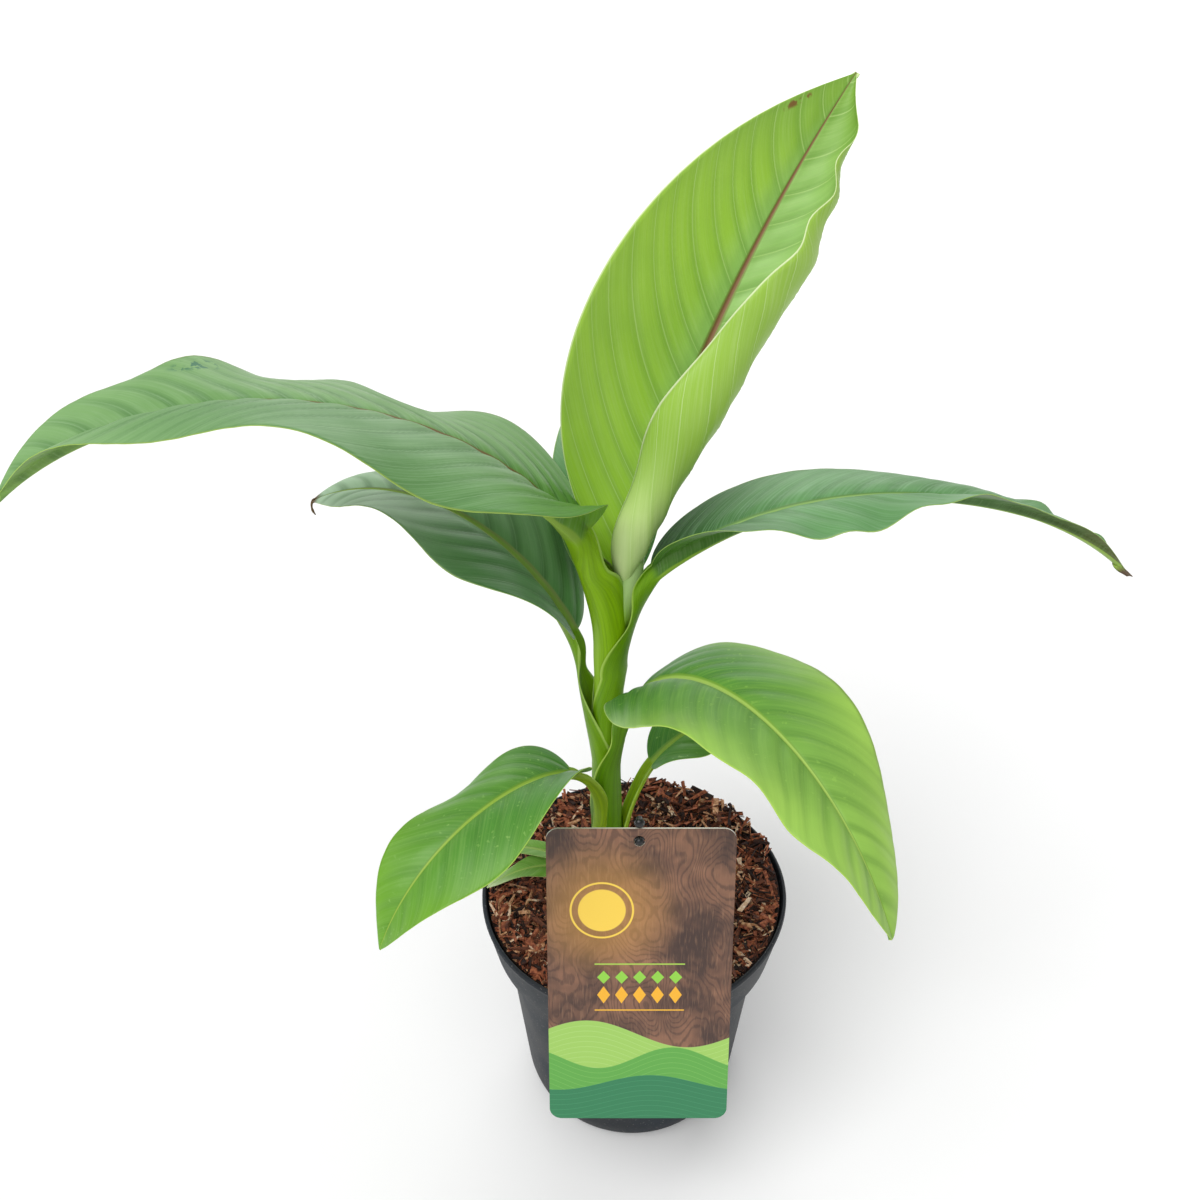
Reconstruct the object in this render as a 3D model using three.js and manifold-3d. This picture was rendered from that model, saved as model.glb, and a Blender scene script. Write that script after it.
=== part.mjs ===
// A young banana plant in its nursery pot, as a scene graph of named solids.
// Millimetres, +Z up. The origin is the middle of the pot's flat underside, and -Y is the
// side that carries the picture label. Every piece is one closed body.

import * as THREE from "three";
import { mergeVertices } from "three/addons/utils/BufferGeometryUtils.js";
import Module from "manifold-3d";

const wasm = await Module();
wasm.setup();

// ---------------------------------------------------------------- driving dimensions

const GAP = 0.35; // clearance that touching pieces keep
const FINEST = 0.05; // detail smaller than this is smoothed away after a cut

const POT = {
  rimRadius: 95, height: 168, wall: 1.6, floor: 2,
  collarRadius: 89.2, collarFoot: 136.5, // lower edge of the deep collar
  shoulderRadius: 81.3, shoulderDrop: 1.5, // step in under the collar
  footRadius: 69.8, footHeight: 15, // where the wall turns in to the base
  baseRadius: 60.3, facets: 48,
  lip: 2.4, lipRound: 0.8, // rolled edge round the mouth, and how far its outer corner is rounded
  footRound: 3, // how far the foot's corner is cut
  drains: 8, drainRadius: 5, drainCircle: 46, drainFacets: 12,
};

const SOIL = {
  top: 161, crown: 1.5, // height at the wall, and how much the middle stands above it
  flat: 0.55, // how much of the radius that middle takes up
};

const STEM = {
  x: -14, y: 0, facets: 20,
  // height above the soil, radius and sideways lean: the foot, its sheaths, the waist, the flare
  // at the fork and the end inside it
  rings: [
    [0, 15, 2], [22, 13.5, 2], [62, 11.6, 2], [108, 9.4, -1],
    [158, 10.2, -2], [208, 10.8, 0], [226, 8, 0],
  ],
};

const LABEL = {
  x: 1, width: 102, length: 188, thickness: 1.2, corner: 7,
  lean: 17, // degrees back from upright
  below: 67.5, // length that hangs below the pot's rim
  hole: 3.2, holeDrop: 7.5, // hole for the stake's stud, and its distance under the top edge
  arcSteps: 6,
};

const STAKE = {
  x: 0, width: 5, thickness: 2.4,
  lean: 10, // degrees back from upright, so that its foot stands inside the rim
  behindCard: 1.4, // from the card's back to the stake, at the stud
  studRadius: 2.4, studProud: 2.6, // through the card's hole
  knobRadius: 2.8, knobRise: 11, // second stud, over the card's top edge
  studFacets: 12,
};

const LEAF = {
  thickness: 0.0105, // of the blade, as a share of the leaf's whole length
  leastThickness: 1.3,
  slimShare: 0.3, fullAt: 12, // what is left of it at the tip, and the half width where it is whole
  keel: [1.4, 1.05], // depth of the petiole at its middle and at its side, in half widths
  keelHalf: 0.6, // where that side is, likewise, but within `keelMost` of the blade's half width
  keelMost: 0.4,
  tipKeel: 0.3, tipHalf: 1, // what is left of the rib at the tip, and the tip's half width
  lobeFade: 6, // how soon a lobe dies out on the way to the tip
  stations: 17, petioleStations: 6, strips: 3,
  firstStation: 0.03, lastStation: 0.985, // both as shares of the half circle that spaces them
};

// Each leaf is named by where it stands. `root` is where its petiole starts inside the stem.
// The midrib sets out on heading `azimuth` (degrees from +X, turning by `sweep`), climbing at
// `rise` and ending at `fall`. `stalk` is the petiole's half width at the stem and at the blade.
// `widest` is the place of the greatest half width, as a share of the blade. Three numbers in a
// row are values at the base, towards the middle and at the tip: `bank` turns the whole blade
// about its midrib, `fold` is the angle at which a half leaves the midrib, and `curl` how far
// it turns on its way to the margin. `lobe` carries the base of a half back along the petiole.
// `wave` is height, number of waves and phase along the margin.
const LEAVES = [
  {
    name: "leaf_crown", root: [-14, 0, 358], azimuth: 40, sweep: -5, rise: 83, fall: 48, bend: 0.7,
    petiole: 32, stalk: [8, 7.5], blade: 277, halfWidth: 66, widest: 0.48, shoulder: 0.98,
    bank: [4, 40, 49], strips: 6,
    left: { width: 1, fold: [14, 26, 7], curl: [22, 42, 15], lobe: 0, wave: [0, 0, 0] },
    right: { width: 1.09, fold: [-10, -13, -28], curl: [260, 211, 117], lobe: 0, wave: [3.6, 3.4, 0.47] },
    color: "#8fbf3c",
  },
  {
    name: "leaf_left", root: [-14, 0, 359], azimuth: 199, sweep: -20, rise: 90, fall: -44, bend: 0.93,
    petiole: 73, stalk: [9, 6], blade: 319, halfWidth: 65, widest: 0.31, shoulder: 0.58,
    bank: [2, 27, -19],
    left: { width: 1, fold: [21, -11, 52], curl: [-13, -45, -14], lobe: 49, wave: [9, 2.6, 0.94] },
    right: { width: 1.11, fold: [30, -42, 66], curl: [-3, -37, -4], lobe: 14, wave: [3.8, 3.8, 0.65] },
    color: "#5f9a5c",
  },
  {
    name: "leaf_right", root: [-14, 0, 341], azimuth: -13, sweep: 27, rise: 107, fall: -46, bend: 0.62,
    petiole: 70, stalk: [7.5, 4.4], blade: 285, halfWidth: 33, widest: 0.27, shoulder: 0.52,
    bank: [-4, -10, 1],
    left: { width: 1, fold: [26, -14, 38], curl: [-4, -30, -29], lobe: 12, wave: [2, 1.6, 0.78] },
    right: { width: 1, fold: [24, -33, 112], curl: [-2, -22, -30], lobe: 16, wave: [7, 2.5, 0.82] },
    color: "#5c9160",
  },
  {
    name: "leaf_back_left", root: [-14, 0, 276], azimuth: 148, sweep: 15, rise: 83, fall: -34, bend: 1.4,
    petiole: 85, stalk: [7, 3.8], blade: 187, halfWidth: 39, widest: 0.38, shoulder: 0.59,
    bank: [5, 0, -3],
    left: { width: 1.08, fold: [25, 10, 10], curl: [-2, -16, -16], lobe: 14, wave: [8, 1.8, 0.04] },
    right: { width: 1, fold: [20, 10, 12], curl: [-13, -23, -16], lobe: 9, wave: [5.7, 1.44, 0.78] },
    color: "#4c7f52",
  },
  {
    name: "leaf_front_right", root: [-14, 0, 270], azimuth: -54, sweep: -5, rise: 88, fall: -59, bend: 1.07,
    petiole: 73, stalk: [7, 4.4], blade: 232, halfWidth: 45, widest: 0.39, shoulder: 0.49,
    bank: [8, -4, -25],
    left: { width: 1.01, fold: [13, 14, 11], curl: [-23, -16, -16], lobe: 17, wave: [3.3, 2, 0.12] },
    right: { width: 1, fold: [-12, 13, 23], curl: [-19, -12, -18], lobe: 67, wave: [4, 2, 0.22] },
    color: "#6aa24a",
  },
  {
    name: "leaf_front_left", root: [-14, 0, 224], azimuth: 227, sweep: -7, rise: 93, fall: -66, bend: 0.88,
    petiole: 71, stalk: [6, 3], blade: 160, halfWidth: 32, widest: 0.38, shoulder: 0.54,
    bank: [10, 3, -10],
    left: { width: 1.18, fold: [24, 8, 12], curl: [-3, -15, -2], lobe: 13, wave: [8.5, 1.37, 0.98] },
    right: { width: 0.98, fold: [22, 4, 9], curl: [-18, -38, -20], lobe: 21, wave: [9.4, 1.38, 0.2] },
    color: "#5f9a3e",
  },
  {
    name: "leaf_low_right", root: [-9, 3, 190], azimuth: 28, sweep: -4, rise: 92, fall: -85, bend: 1.5,
    petiole: 75, stalk: [5, 2.6], blade: 112, halfWidth: 25, widest: 0.43, shoulder: 0.55,
    bank: [-2, 2, 1],
    left: { width: 1, fold: [19, 14, 8], curl: [-13, -16, -20], lobe: 5, wave: [1, 3, 0.14] },
    right: { width: 1, fold: [22, 12, 7], curl: [-9, -17, -20], lobe: 10, wave: [4.8, 2.8, 0] },
    color: "#4f8a48",
  },
  {
    name: "leaf_back", root: [-14, 2, 305], azimuth: 84, sweep: 6, rise: 86, fall: -42, bend: 1,
    petiole: 84, stalk: [7, 4], blade: 190, halfWidth: 34, widest: 0.36, shoulder: 0.5,
    bank: [0, 0, 0],
    left: { width: 1, fold: [24, 14, 8], curl: [-10, -16, -24], lobe: 26, wave: [3, 1.6, 0.2] },
    right: { width: 1, fold: [24, 14, 8], curl: [-10, -16, -24], lobe: 26, wave: [3, 1.8, 0.6] },
    color: "#4c7f52",
  },
  {
    name: "leaf_young_left", root: [-19, 5, 167], azimuth: 168, sweep: -4, rise: 46, fall: -34, bend: 1,
    petiole: 22, stalk: [3, 1.8], blade: 66, halfWidth: 11, widest: 0.4, shoulder: 0.55,
    bank: [0, 0, 0],
    left: { width: 1, fold: [20, 14, 8], curl: [-10, -12, -15], lobe: 0, wave: [0, 0, 0] },
    right: { width: 1, fold: [20, 14, 8], curl: [-10, -12, -15], lobe: 0, wave: [0, 0, 0] },
    color: "#6fae45",
  },
  {
    name: "leaf_young_front", root: [-17, 3, 167], azimuth: 164, sweep: 44, rise: 34, fall: -26, bend: 1,
    petiole: 18, stalk: [3, 1.8], blade: 62, halfWidth: 8, widest: 0.4, shoulder: 0.55,
    bank: [0, 0, 0],
    left: { width: 1, fold: [16, 10, 4], curl: [-10, -12, -15], lobe: 0, wave: [2, 1.5, 0.2] },
    right: { width: 1, fold: [16, 10, 4], curl: [-10, -12, -15], lobe: 0, wave: [2, 1.5, 0.6] },
    color: "#6fae45",
  },
];

// ---------------------------------------------------------------- small helpers

const rad = THREE.MathUtils.degToRad;
const mix = THREE.MathUtils.lerp;
const clamp01 = (value) => THREE.MathUtils.clamp(value, 0, 1);

// Quadratic curve through a value at the base, pulled towards the middle one, to the tip.
const along3 = ([base, middle, tip], u) => (
  (1 - u) ** 2 * base + 2 * u * (1 - u) * middle + u ** 2 * tip
);

// Joins rings of points, each with the same count, into one closed body with flat ends.
function loft(rings) {
  const count = rings[0].length;
  const positions = rings.flat().flatMap((p) => [p.x, p.y, p.z]);
  const faces = [];
  for (let r = 0; r < rings.length - 1; r += 1) {
    for (let i = 0; i < count; i += 1) {
      const a = r * count + i;
      const b = r * count + ((i + 1) % count);
      faces.push(a, b, b + count, a, b + count, a + count);
    }
  }
  const addCap = (ring, flip) => {
    const centre = ring.reduce((sum, p) => sum.add(p), new THREE.Vector3()).divideScalar(count);
    const index = positions.length / 3;
    positions.push(centre.x, centre.y, centre.z);
    const first = flip ? (rings.length - 1) * count : 0;
    for (let i = 0; i < count; i += 1) {
      const a = first + i;
      const b = first + ((i + 1) % count);
      faces.push(...(flip ? [a, b, index] : [b, a, index]));
    }
  };
  addCap(rings[0], false);
  addCap(rings[rings.length - 1], true);
  const geometry = new THREE.BufferGeometry();
  geometry.setAttribute("position", new THREE.Float32BufferAttribute(positions, 3));
  geometry.setIndex(faces);
  return geometry;
}

function toSolid(geometry) {
  const plain = geometry.clone();
  plain.deleteAttribute("normal");
  plain.deleteAttribute("uv");
  const merged = mergeVertices(plain, 1e-4);
  return new wasm.Manifold(new wasm.Mesh({
    numProp: 3,
    vertProperties: new Float32Array(merged.attributes.position.array),
    triVerts: new Uint32Array(merged.index.array),
  }));
}

function toGeometry(solid) {
  const mesh = solid.getMesh();
  const geometry = new THREE.BufferGeometry();
  geometry.setAttribute("position", new THREE.BufferAttribute(mesh.vertProperties, 3));
  geometry.setIndex(new THREE.BufferAttribute(mesh.triVerts, 1));
  geometry.computeVertexNormals();
  return geometry;
}

// The largest of the separate bodies left after a cut.
function mainBody(solid) {
  return solid.decompose().reduce((best, body) => (body.volume() > best.volume() ? body : best));
}

function lathe(profile, facets) {
  const geometry = new THREE.LatheGeometry(profile.map(([r, z]) => new THREE.Vector2(r, z)), facets);
  geometry.rotateX(Math.PI / 2);
  return geometry;
}

function named(name, geometry, color, roughness) {
  const mesh = new THREE.Mesh(geometry, new THREE.MeshStandardMaterial({ color, roughness, metalness: 0 }));
  mesh.name = name;
  return mesh;
}

// ---------------------------------------------------------------- pot and soil

function potProfile() {
  const p = POT;
  const inside = (r) => r - p.wall;
  return [
    [0, 0], [p.baseRadius, 0], [p.footRadius - p.footRound, p.footHeight / 3], [p.footRadius, p.footHeight],
    [p.shoulderRadius, p.collarFoot - p.shoulderDrop], [p.collarRadius, p.collarFoot],
    [p.rimRadius - p.lipRound, p.height - 2 * p.lip], [p.rimRadius, p.height - p.lip],
    [p.rimRadius - p.lipRound, p.height], [inside(p.rimRadius) - p.lipRound, p.height],
    [inside(p.rimRadius) - 2 * p.lipRound, p.height - 2 * p.lip],
    [inside(p.collarRadius), p.collarFoot + p.wall], [inside(p.shoulderRadius), p.collarFoot - p.shoulderDrop],
    [inside(p.footRadius), p.footHeight], [inside(p.footRadius) - p.footRound, p.footHeight / 3],
    [inside(p.baseRadius), p.floor], [0, p.floor],
  ];
}

function makePot() {
  let pot = toSolid(lathe(potProfile(), POT.facets));
  for (let i = 0; i < POT.drains; i += 1) {
    const turn = (i / POT.drains) * Math.PI * 2;
    const hole = new THREE.CylinderGeometry(
      POT.drainRadius, POT.drainRadius, POT.floor * 3, POT.drainFacets);
    hole.rotateX(Math.PI / 2);
    hole.translate(Math.cos(turn) * POT.drainCircle, Math.sin(turn) * POT.drainCircle, POT.floor / 2);
    pot = pot.subtract(toSolid(hole));
  }
  return toGeometry(pot);
}

// The soil follows the inside of the pot, a clearance away from it.
function makeSoil() {
  const p = POT;
  const inner = (r) => r - p.wall - 2 * GAP;
  const rise = (SOIL.top - p.collarFoot) / (p.height - p.collarFoot);
  const side = mix(inner(p.collarRadius), inner(p.rimRadius) - 2 * p.lipRound, rise);
  return lathe([
    [0, p.floor + GAP], [inner(p.baseRadius), p.floor + GAP],
    [inner(p.footRadius) - p.footRound - GAP, p.footHeight / 3], [inner(p.footRadius), p.footHeight],
    [inner(p.shoulderRadius), p.collarFoot - p.shoulderDrop],
    [inner(p.collarRadius), p.collarFoot + p.wall + GAP],
    [side, SOIL.top], [side * SOIL.flat, SOIL.top + SOIL.crown], [0, SOIL.top + SOIL.crown],
  ], POT.facets);
}

// ---------------------------------------------------------------- stem

function makeStem(grow = 0) {
  const foot = SOIL.top + SOIL.crown + GAP;
  const rings = STEM.rings.map(([height, radius, shift], index) => {
    const end = index === 0 ? -grow : index === STEM.rings.length - 1 ? grow : 0;
    return Array.from({ length: STEM.facets }, (_, i) => {
      const turn = (i / STEM.facets) * Math.PI * 2;
      return new THREE.Vector3(
        STEM.x + shift + Math.cos(turn) * (radius + grow),
        STEM.y + Math.sin(turn) * (radius + grow),
        foot + height + end,
      );
    });
  });
  return loft(rings);
}

// ---------------------------------------------------------------- leaves

// Heading and frame of the midrib at the share t of its whole length.
function headingAt(leaf, t) {
  const climb = rad(mix(leaf.rise, leaf.fall, t ** leaf.bend));
  const turn = rad(leaf.azimuth + leaf.sweep * t);
  const along = new THREE.Vector3(
    Math.cos(climb) * Math.cos(turn), Math.cos(climb) * Math.sin(turn), Math.sin(climb));
  const across = new THREE.Vector3(-Math.sin(turn), Math.cos(turn), 0);
  return { along, across, up: new THREE.Vector3().crossVectors(along, across) };
}

// Points along the midrib, found by adding up its heading in short steps.
function midribPoint(leaf, distance) {
  const total = leaf.petiole + leaf.blade;
  const steps = Math.max(1, Math.ceil(distance / 2));
  const point = new THREE.Vector3(...leaf.root);
  for (let i = 0; i < steps; i += 1) {
    const middle = ((i + 0.5) / steps) * (distance / total);
    point.addScaledVector(headingAt(leaf, middle).along, distance / steps);
  }
  return point;
}

// Half width of the blade at the share u: zero at both ends, 1 at `widest`.
function halfWidthAt(leaf, u) {
  const tail = (leaf.shoulder * (1 - leaf.widest)) / leaf.widest;
  const inner = (Math.max(u, 0) / leaf.widest) ** leaf.shoulder;
  const outer = (Math.max(1 - u, 0) / (1 - leaf.widest)) ** tail;
  return leaf.halfWidth * inner * outer;
}

// A point of the blade's upper face on one half, `reach` mm from the midrib along the surface,
// and the direction that points out of that face.
function bladePoint(leaf, half, sign, frame, u, reach, width) {
  const fold = rad(along3(half.fold, u));
  const curl = rad(along3(half.curl, u)) || 1e-4;
  const v = reach / width;
  const radius = width / curl;
  const angle = fold + curl * v;
  const [height, waves, phase] = half.wave;
  const ripple = height * Math.sin(2 * Math.PI * (waves * u + phase)) * v * v
    * (width / leaf.halfWidth);
  const out = radius * (Math.sin(angle) - Math.sin(fold)) - ripple * Math.sin(angle);
  const lift = radius * (Math.cos(fold) - Math.cos(angle)) + ripple * Math.cos(angle);
  const back = -half.lobe * (reach / leaf.halfWidth) * (1 - u) ** LEAF.lobeFade;
  const point = frame.origin.clone()
    .addScaledVector(frame.across, sign * out)
    .addScaledVector(frame.up, lift)
    .addScaledVector(frame.along, back);
  const normal = frame.across.clone().multiplyScalar(-sign * Math.sin(angle))
    .addScaledVector(frame.up, Math.cos(angle));
  return { point, normal };
}

// Half width of the petiole, which goes on under the blade as the rib.
function stalkAt(leaf, distance, u) {
  const [atStem, atBlade] = leaf.stalk;
  const petiole = mix(atStem, atBlade, clamp01(distance / leaf.petiole));
  return petiole * mix(1, LEAF.tipKeel, u);
}

// One section of the leaf: across the upper face from margin to margin, then back under it.
function leafSection(leaf, distance, grow) {
  const total = leaf.petiole + leaf.blade;
  const u = clamp01((distance - leaf.petiole) / leaf.blade);
  const { along, across, up } = headingAt(leaf, distance / total);
  const bank = rad(along3(leaf.bank, u));
  const frame = {
    along,
    origin: midribPoint(leaf, distance),
    across: across.clone().multiplyScalar(Math.cos(bank)).addScaledVector(up, Math.sin(bank)),
    up: up.clone().multiplyScalar(Math.cos(bank)).addScaledVector(across, -Math.sin(bank)),
  };
  const stalk = stalkAt(leaf, distance, u);
  const thickness = Math.max(LEAF.leastThickness, total * LEAF.thickness);
  const strips = leaf.strips ?? LEAF.strips;
  const upper = [];
  const lower = [];
  [[leaf.left, 1], [leaf.right, -1]].forEach(([half, sign]) => {
    const blade = halfWidthAt(leaf, u) * half.width;
    const width = Math.max(blade, stalk * (1 - u), LEAF.tipHalf) + grow;
    const thin = thickness * mix(LEAF.slimShare, 1, clamp01(width / LEAF.fullAt));
    const keelHalf = Math.min(stalk * LEAF.keelHalf, width * LEAF.keelMost);
    const reaches = [0, keelHalf];
    for (let k = 1; k <= strips; k += 1) reaches.push(mix(keelHalf, width, k / strips));
    const rows = reaches.map((reach, index) => {
      const { point, normal } = bladePoint(leaf, half, sign, frame, u, reach, width);
      const depth = Math.max(thin, stalk * (LEAF.keel[index] ?? 0));
      return {
        top: point.clone().addScaledVector(normal, grow),
        under: point.clone().addScaledVector(normal, -depth - grow),
      };
    });
    const ordered = sign > 0 ? rows.reverse() : rows.slice(1);
    ordered.forEach((row) => { upper.push(row.top); lower.unshift(row.under); });
  });
  return [...upper, ...lower];
}

function leafLoft(leaf, grow = 0) {
  const distances = [];
  for (let i = 0; i < LEAF.petioleStations; i += 1) {
    distances.push((leaf.petiole * i) / LEAF.petioleStations);
  }
  for (let i = 0; i <= LEAF.stations; i += 1) {
    // closer together at the base and at the tip, where the outline turns
    const turn = Math.PI * mix(LEAF.firstStation, LEAF.lastStation, i / LEAF.stations);
    const share = 0.5 - 0.5 * Math.cos(turn);
    distances.push(leaf.petiole + leaf.blade * share);
  }
  return loft(distances.map((distance) => leafSection(leaf, distance, grow)));
}

// Petioles meet the stem and the older petioles with a small gap, so each leaf is cut by the
// grown shapes of what stands inside it.
function makeLeaves() {
  const blockers = [toSolid(makeStem(GAP))];
  return LEAVES.map((leaf) => {
    let solid = toSolid(leafLoft(leaf));
    blockers.forEach((blocker) => { solid = solid.subtract(blocker); });
    blockers.push(toSolid(leafLoft(leaf, GAP)));
    return named(leaf.name, toGeometry(mainBody(solid.simplify(FINEST))), leaf.color, 0.55);
  });
}

// ---------------------------------------------------------------- label and stake

// The card's frame: +Y runs up the card and +Z out of its printed face. It leans on the rim.
function placeLabel(group) {
  const lean = rad(LABEL.lean);
  const clear = LABEL.thickness / 2 + GAP;
  group.rotation.x = Math.PI / 2 - lean;
  group.position.set(
    LABEL.x, -POT.rimRadius - clear * Math.cos(lean), POT.height - POT.lip + clear * Math.sin(lean));
  group.updateMatrixWorld(true);
}

function makeCard() {
  const { width, length, corner, thickness, below, hole, holeDrop } = LABEL;
  const side = width / 2 - corner;
  const foot = corner - below;
  const head = length - below - corner;
  const shape = new THREE.Shape();
  shape.moveTo(-side, -below);
  shape.lineTo(side, -below);
  shape.absarc(side, foot, corner, -Math.PI / 2, 0);
  shape.absarc(side, head, corner, 0, Math.PI / 2);
  shape.absarc(-side, head, corner, Math.PI / 2, Math.PI);
  shape.absarc(-side, foot, corner, Math.PI, Math.PI * 1.5);
  const opening = new THREE.Path();
  opening.absarc(STAKE.x - LABEL.x, length - below - holeDrop, hole, 0, Math.PI * 2, true);
  shape.holes.push(opening);
  const card = new THREE.ExtrudeGeometry(
    shape, { depth: thickness, bevelEnabled: false, curveSegments: LABEL.arcSteps });
  card.translate(0, 0, -thickness / 2);
  return card;
}

function stud(radius, back, front, y) {
  const round = new THREE.CylinderGeometry(radius, radius, front - back, STAKE.studFacets);
  round.rotateX(Math.PI / 2);
  round.translate(0, y, (front + back) / 2);
  return toSolid(round);
}

// The stake's frame has its origin at the lower stud, +Y up the stick and +Z to the front.
function makeStake(height) {
  const { width, thickness, behindCard, studRadius, studProud, knobRadius, knobRise } = STAKE;
  const front = thickness / 2 + behindCard + LABEL.thickness + studProud;
  const stick = new THREE.BoxGeometry(width, height + knobRise, thickness);
  stick.translate(0, (knobRise - height) / 2, 0);
  return toGeometry(toSolid(stick)
    .add(stud(studRadius, -thickness / 2, front, 0))
    .add(stud(knobRadius, -thickness / 2, front - LABEL.thickness, knobRise)));
}

function stakeGroup(labelFrame) {
  const lean = rad(STAKE.lean);
  const group = new THREE.Group();
  const behind = LABEL.thickness / 2 + STAKE.behindCard + STAKE.thickness / 2;
  const start = new THREE.Vector3(
    STAKE.x - LABEL.x, LABEL.length - LABEL.below - LABEL.holeDrop, -behind);
  group.position.copy(start.applyMatrix4(labelFrame.matrixWorld));
  group.rotation.x = Math.PI / 2 - lean;
  const ground = SOIL.top + SOIL.crown + GAP + STAKE.thickness * Math.sin(lean);
  group.add(named("label_stake", makeStake((group.position.z - ground) / Math.cos(lean)), "#15171a", 0.4));
  return group;
}

// ---------------------------------------------------------------- the whole plant

const potGroup = new THREE.Group();
potGroup.add(named("pot", makePot(), "#2f3337", 0.6));
potGroup.add(named("soil", makeSoil(), "#4a2c22", 0.95));

const plantGroup = new THREE.Group();
plantGroup.add(named("stem", makeStem(), "#7fae2f", 0.5));
plantGroup.add(...makeLeaves());

const label = new THREE.Group();
placeLabel(label);
label.add(named("label_card", makeCard(), "#5a4632", 0.35));

const plant = new THREE.Group();
plant.add(potGroup, plantGroup, label, stakeGroup(label));

export default plant;
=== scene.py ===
# %% [markdown]
# # A young banana plant in its nursery pot
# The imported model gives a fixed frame: a thin pot, soil, a stem and ten thick, plain leaves. This
# lesson dresses it. Each leaf is grown again by the same rule with many more points, so that the
# sheath, the petiole and the blade become one thin, closed body. The pot, the soil, the label and
# its stake follow. Lengths are in millimetres until a mesh is made, which is in metres.

import bpy
import numpy as np
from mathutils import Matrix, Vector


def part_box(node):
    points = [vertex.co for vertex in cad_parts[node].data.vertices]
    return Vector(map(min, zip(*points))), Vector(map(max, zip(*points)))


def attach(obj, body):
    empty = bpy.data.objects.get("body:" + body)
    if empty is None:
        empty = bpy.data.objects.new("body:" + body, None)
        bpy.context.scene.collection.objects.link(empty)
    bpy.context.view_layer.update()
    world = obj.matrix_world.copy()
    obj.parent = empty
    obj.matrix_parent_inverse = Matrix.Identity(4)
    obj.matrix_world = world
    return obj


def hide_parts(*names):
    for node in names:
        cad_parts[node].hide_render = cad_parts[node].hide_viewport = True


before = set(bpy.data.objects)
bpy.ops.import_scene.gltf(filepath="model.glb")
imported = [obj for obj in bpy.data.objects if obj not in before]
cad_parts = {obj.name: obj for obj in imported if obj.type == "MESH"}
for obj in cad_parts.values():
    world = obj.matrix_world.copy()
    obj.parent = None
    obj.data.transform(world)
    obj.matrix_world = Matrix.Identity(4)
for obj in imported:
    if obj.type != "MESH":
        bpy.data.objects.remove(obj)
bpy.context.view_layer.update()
print("nodes:", ", ".join(sorted(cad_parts)))

# %% [markdown]
# ## Camera and light
# The plant is looked down on from a little over its own height. A catalogue shows such a plant on
# white with faint shadows. Small lamps would draw hard ones, so a very soft sun lights plant and
# floor alike, a white sky fills the shadows, and a wide panel behind gives the leaves' upper
# faces their pale sheen.

# %% Camera
EYE = (-0.021, -0.5327, 0.7648)  # metres
LOOK_DOWN = 35.36  # degrees under the horizon

camera = bpy.data.objects.new("camera", bpy.data.cameras.new("camera"))
camera.data.sensor_width = 36
camera.data.lens = 37.5
camera.location = EYE
camera.rotation_euler = (np.radians(90 - LOOK_DOWN), 0, 0)
bpy.context.collection.objects.link(camera)
bpy.context.scene.camera = camera
print(f"camera {EYE[2]:.3f} m up, looking {LOOK_DOWN} degrees down")

# %% Sky and lamps
AIM = (0, 0, 0.3)
SKY = 0.46

world = bpy.data.worlds.new("white_sky")
world.use_nodes = True
world.node_tree.nodes["Background"].inputs["Color"].default_value = (1, 1, 1, 1)
world.node_tree.nodes["Background"].inputs["Strength"].default_value = SKY
bpy.context.scene.world = world
bpy.context.scene.view_settings.view_transform = "Standard"


def add_lamp(name, kind, place, **settings):
    """A lamp at `place`, turned so that it looks at AIM."""
    lamp = bpy.data.lights.new(name, kind)
    for key, value in settings.items():
        setattr(lamp, key, value)
    holder = bpy.data.objects.new(name, lamp)
    holder.location = place
    towards = Vector(AIM) - Vector(place)
    holder.rotation_euler = towards.to_track_quat("-Z", "Y").to_euler()
    bpy.context.collection.objects.link(holder)


add_lamp("soft_sun", "SUN", (-0.6, -0.9, 1.9), energy=2.1, angle=np.radians(45))
add_lamp("back_panel", "AREA", (0.35, 4.6, 3.2), energy=114, size=4.6)
print("sky", SKY, "with", len(bpy.data.lights), "lamps")

# %% [markdown]
# ## Helpers for meshes
# Every piece is a grid of points worked out as whole arrays. Modelling tools could push points
# about by hand, but a grid's quads can simply be numbered. One helper numbers them, one closes
# both ends of a tube with fans, and one puts the arrays into a Blender mesh.

# %% Soft steps
MM = 0.001


def smooth(value):
    """Goes from 0 to 1 without a corner while `value` does: 3x^2 - 2x^3, held at both ends."""
    x = np.clip(value, 0, 1)
    return x * x * (3 - 2 * x)


def mix(a, b, share):
    """a at share 0, b at share 1, in a straight line between."""
    return a + (b - a) * share


print("half way through a soft step:", float(smooth(0.5)))

# %% Faces of a grid and of a closed tube
def grid_faces(rows, columns, around=False):
    """Quads of a grid whose points are numbered row by row; `around` joins the last column to
    the first."""
    r = np.arange(rows - 1)[:, None]
    c = np.arange(columns if around else columns - 1)[None, :]
    a, b = r * columns + c, r * columns + (c + 1) % columns
    return np.stack([a, b, b + columns, a + columns], -1).reshape(-1, 4)


def fan_faces(ring, centre):
    """Triangles from each edge of a closed ring of point numbers to a centre point."""
    return np.stack([ring, np.roll(ring, -1), np.full(len(ring), centre)], -1)


def closed_tube(rows, columns):
    """Faces of a tube: a grid that is joined all the way round, and at each end a fan to a centre
    point. The two centres are numbered after the grid's own points."""
    ring, count = np.arange(columns), rows * columns
    return [grid_faces(rows, columns, around=True), fan_faces(ring[::-1], count),
            fan_faces(ring + count - columns, count + 1)]


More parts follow.
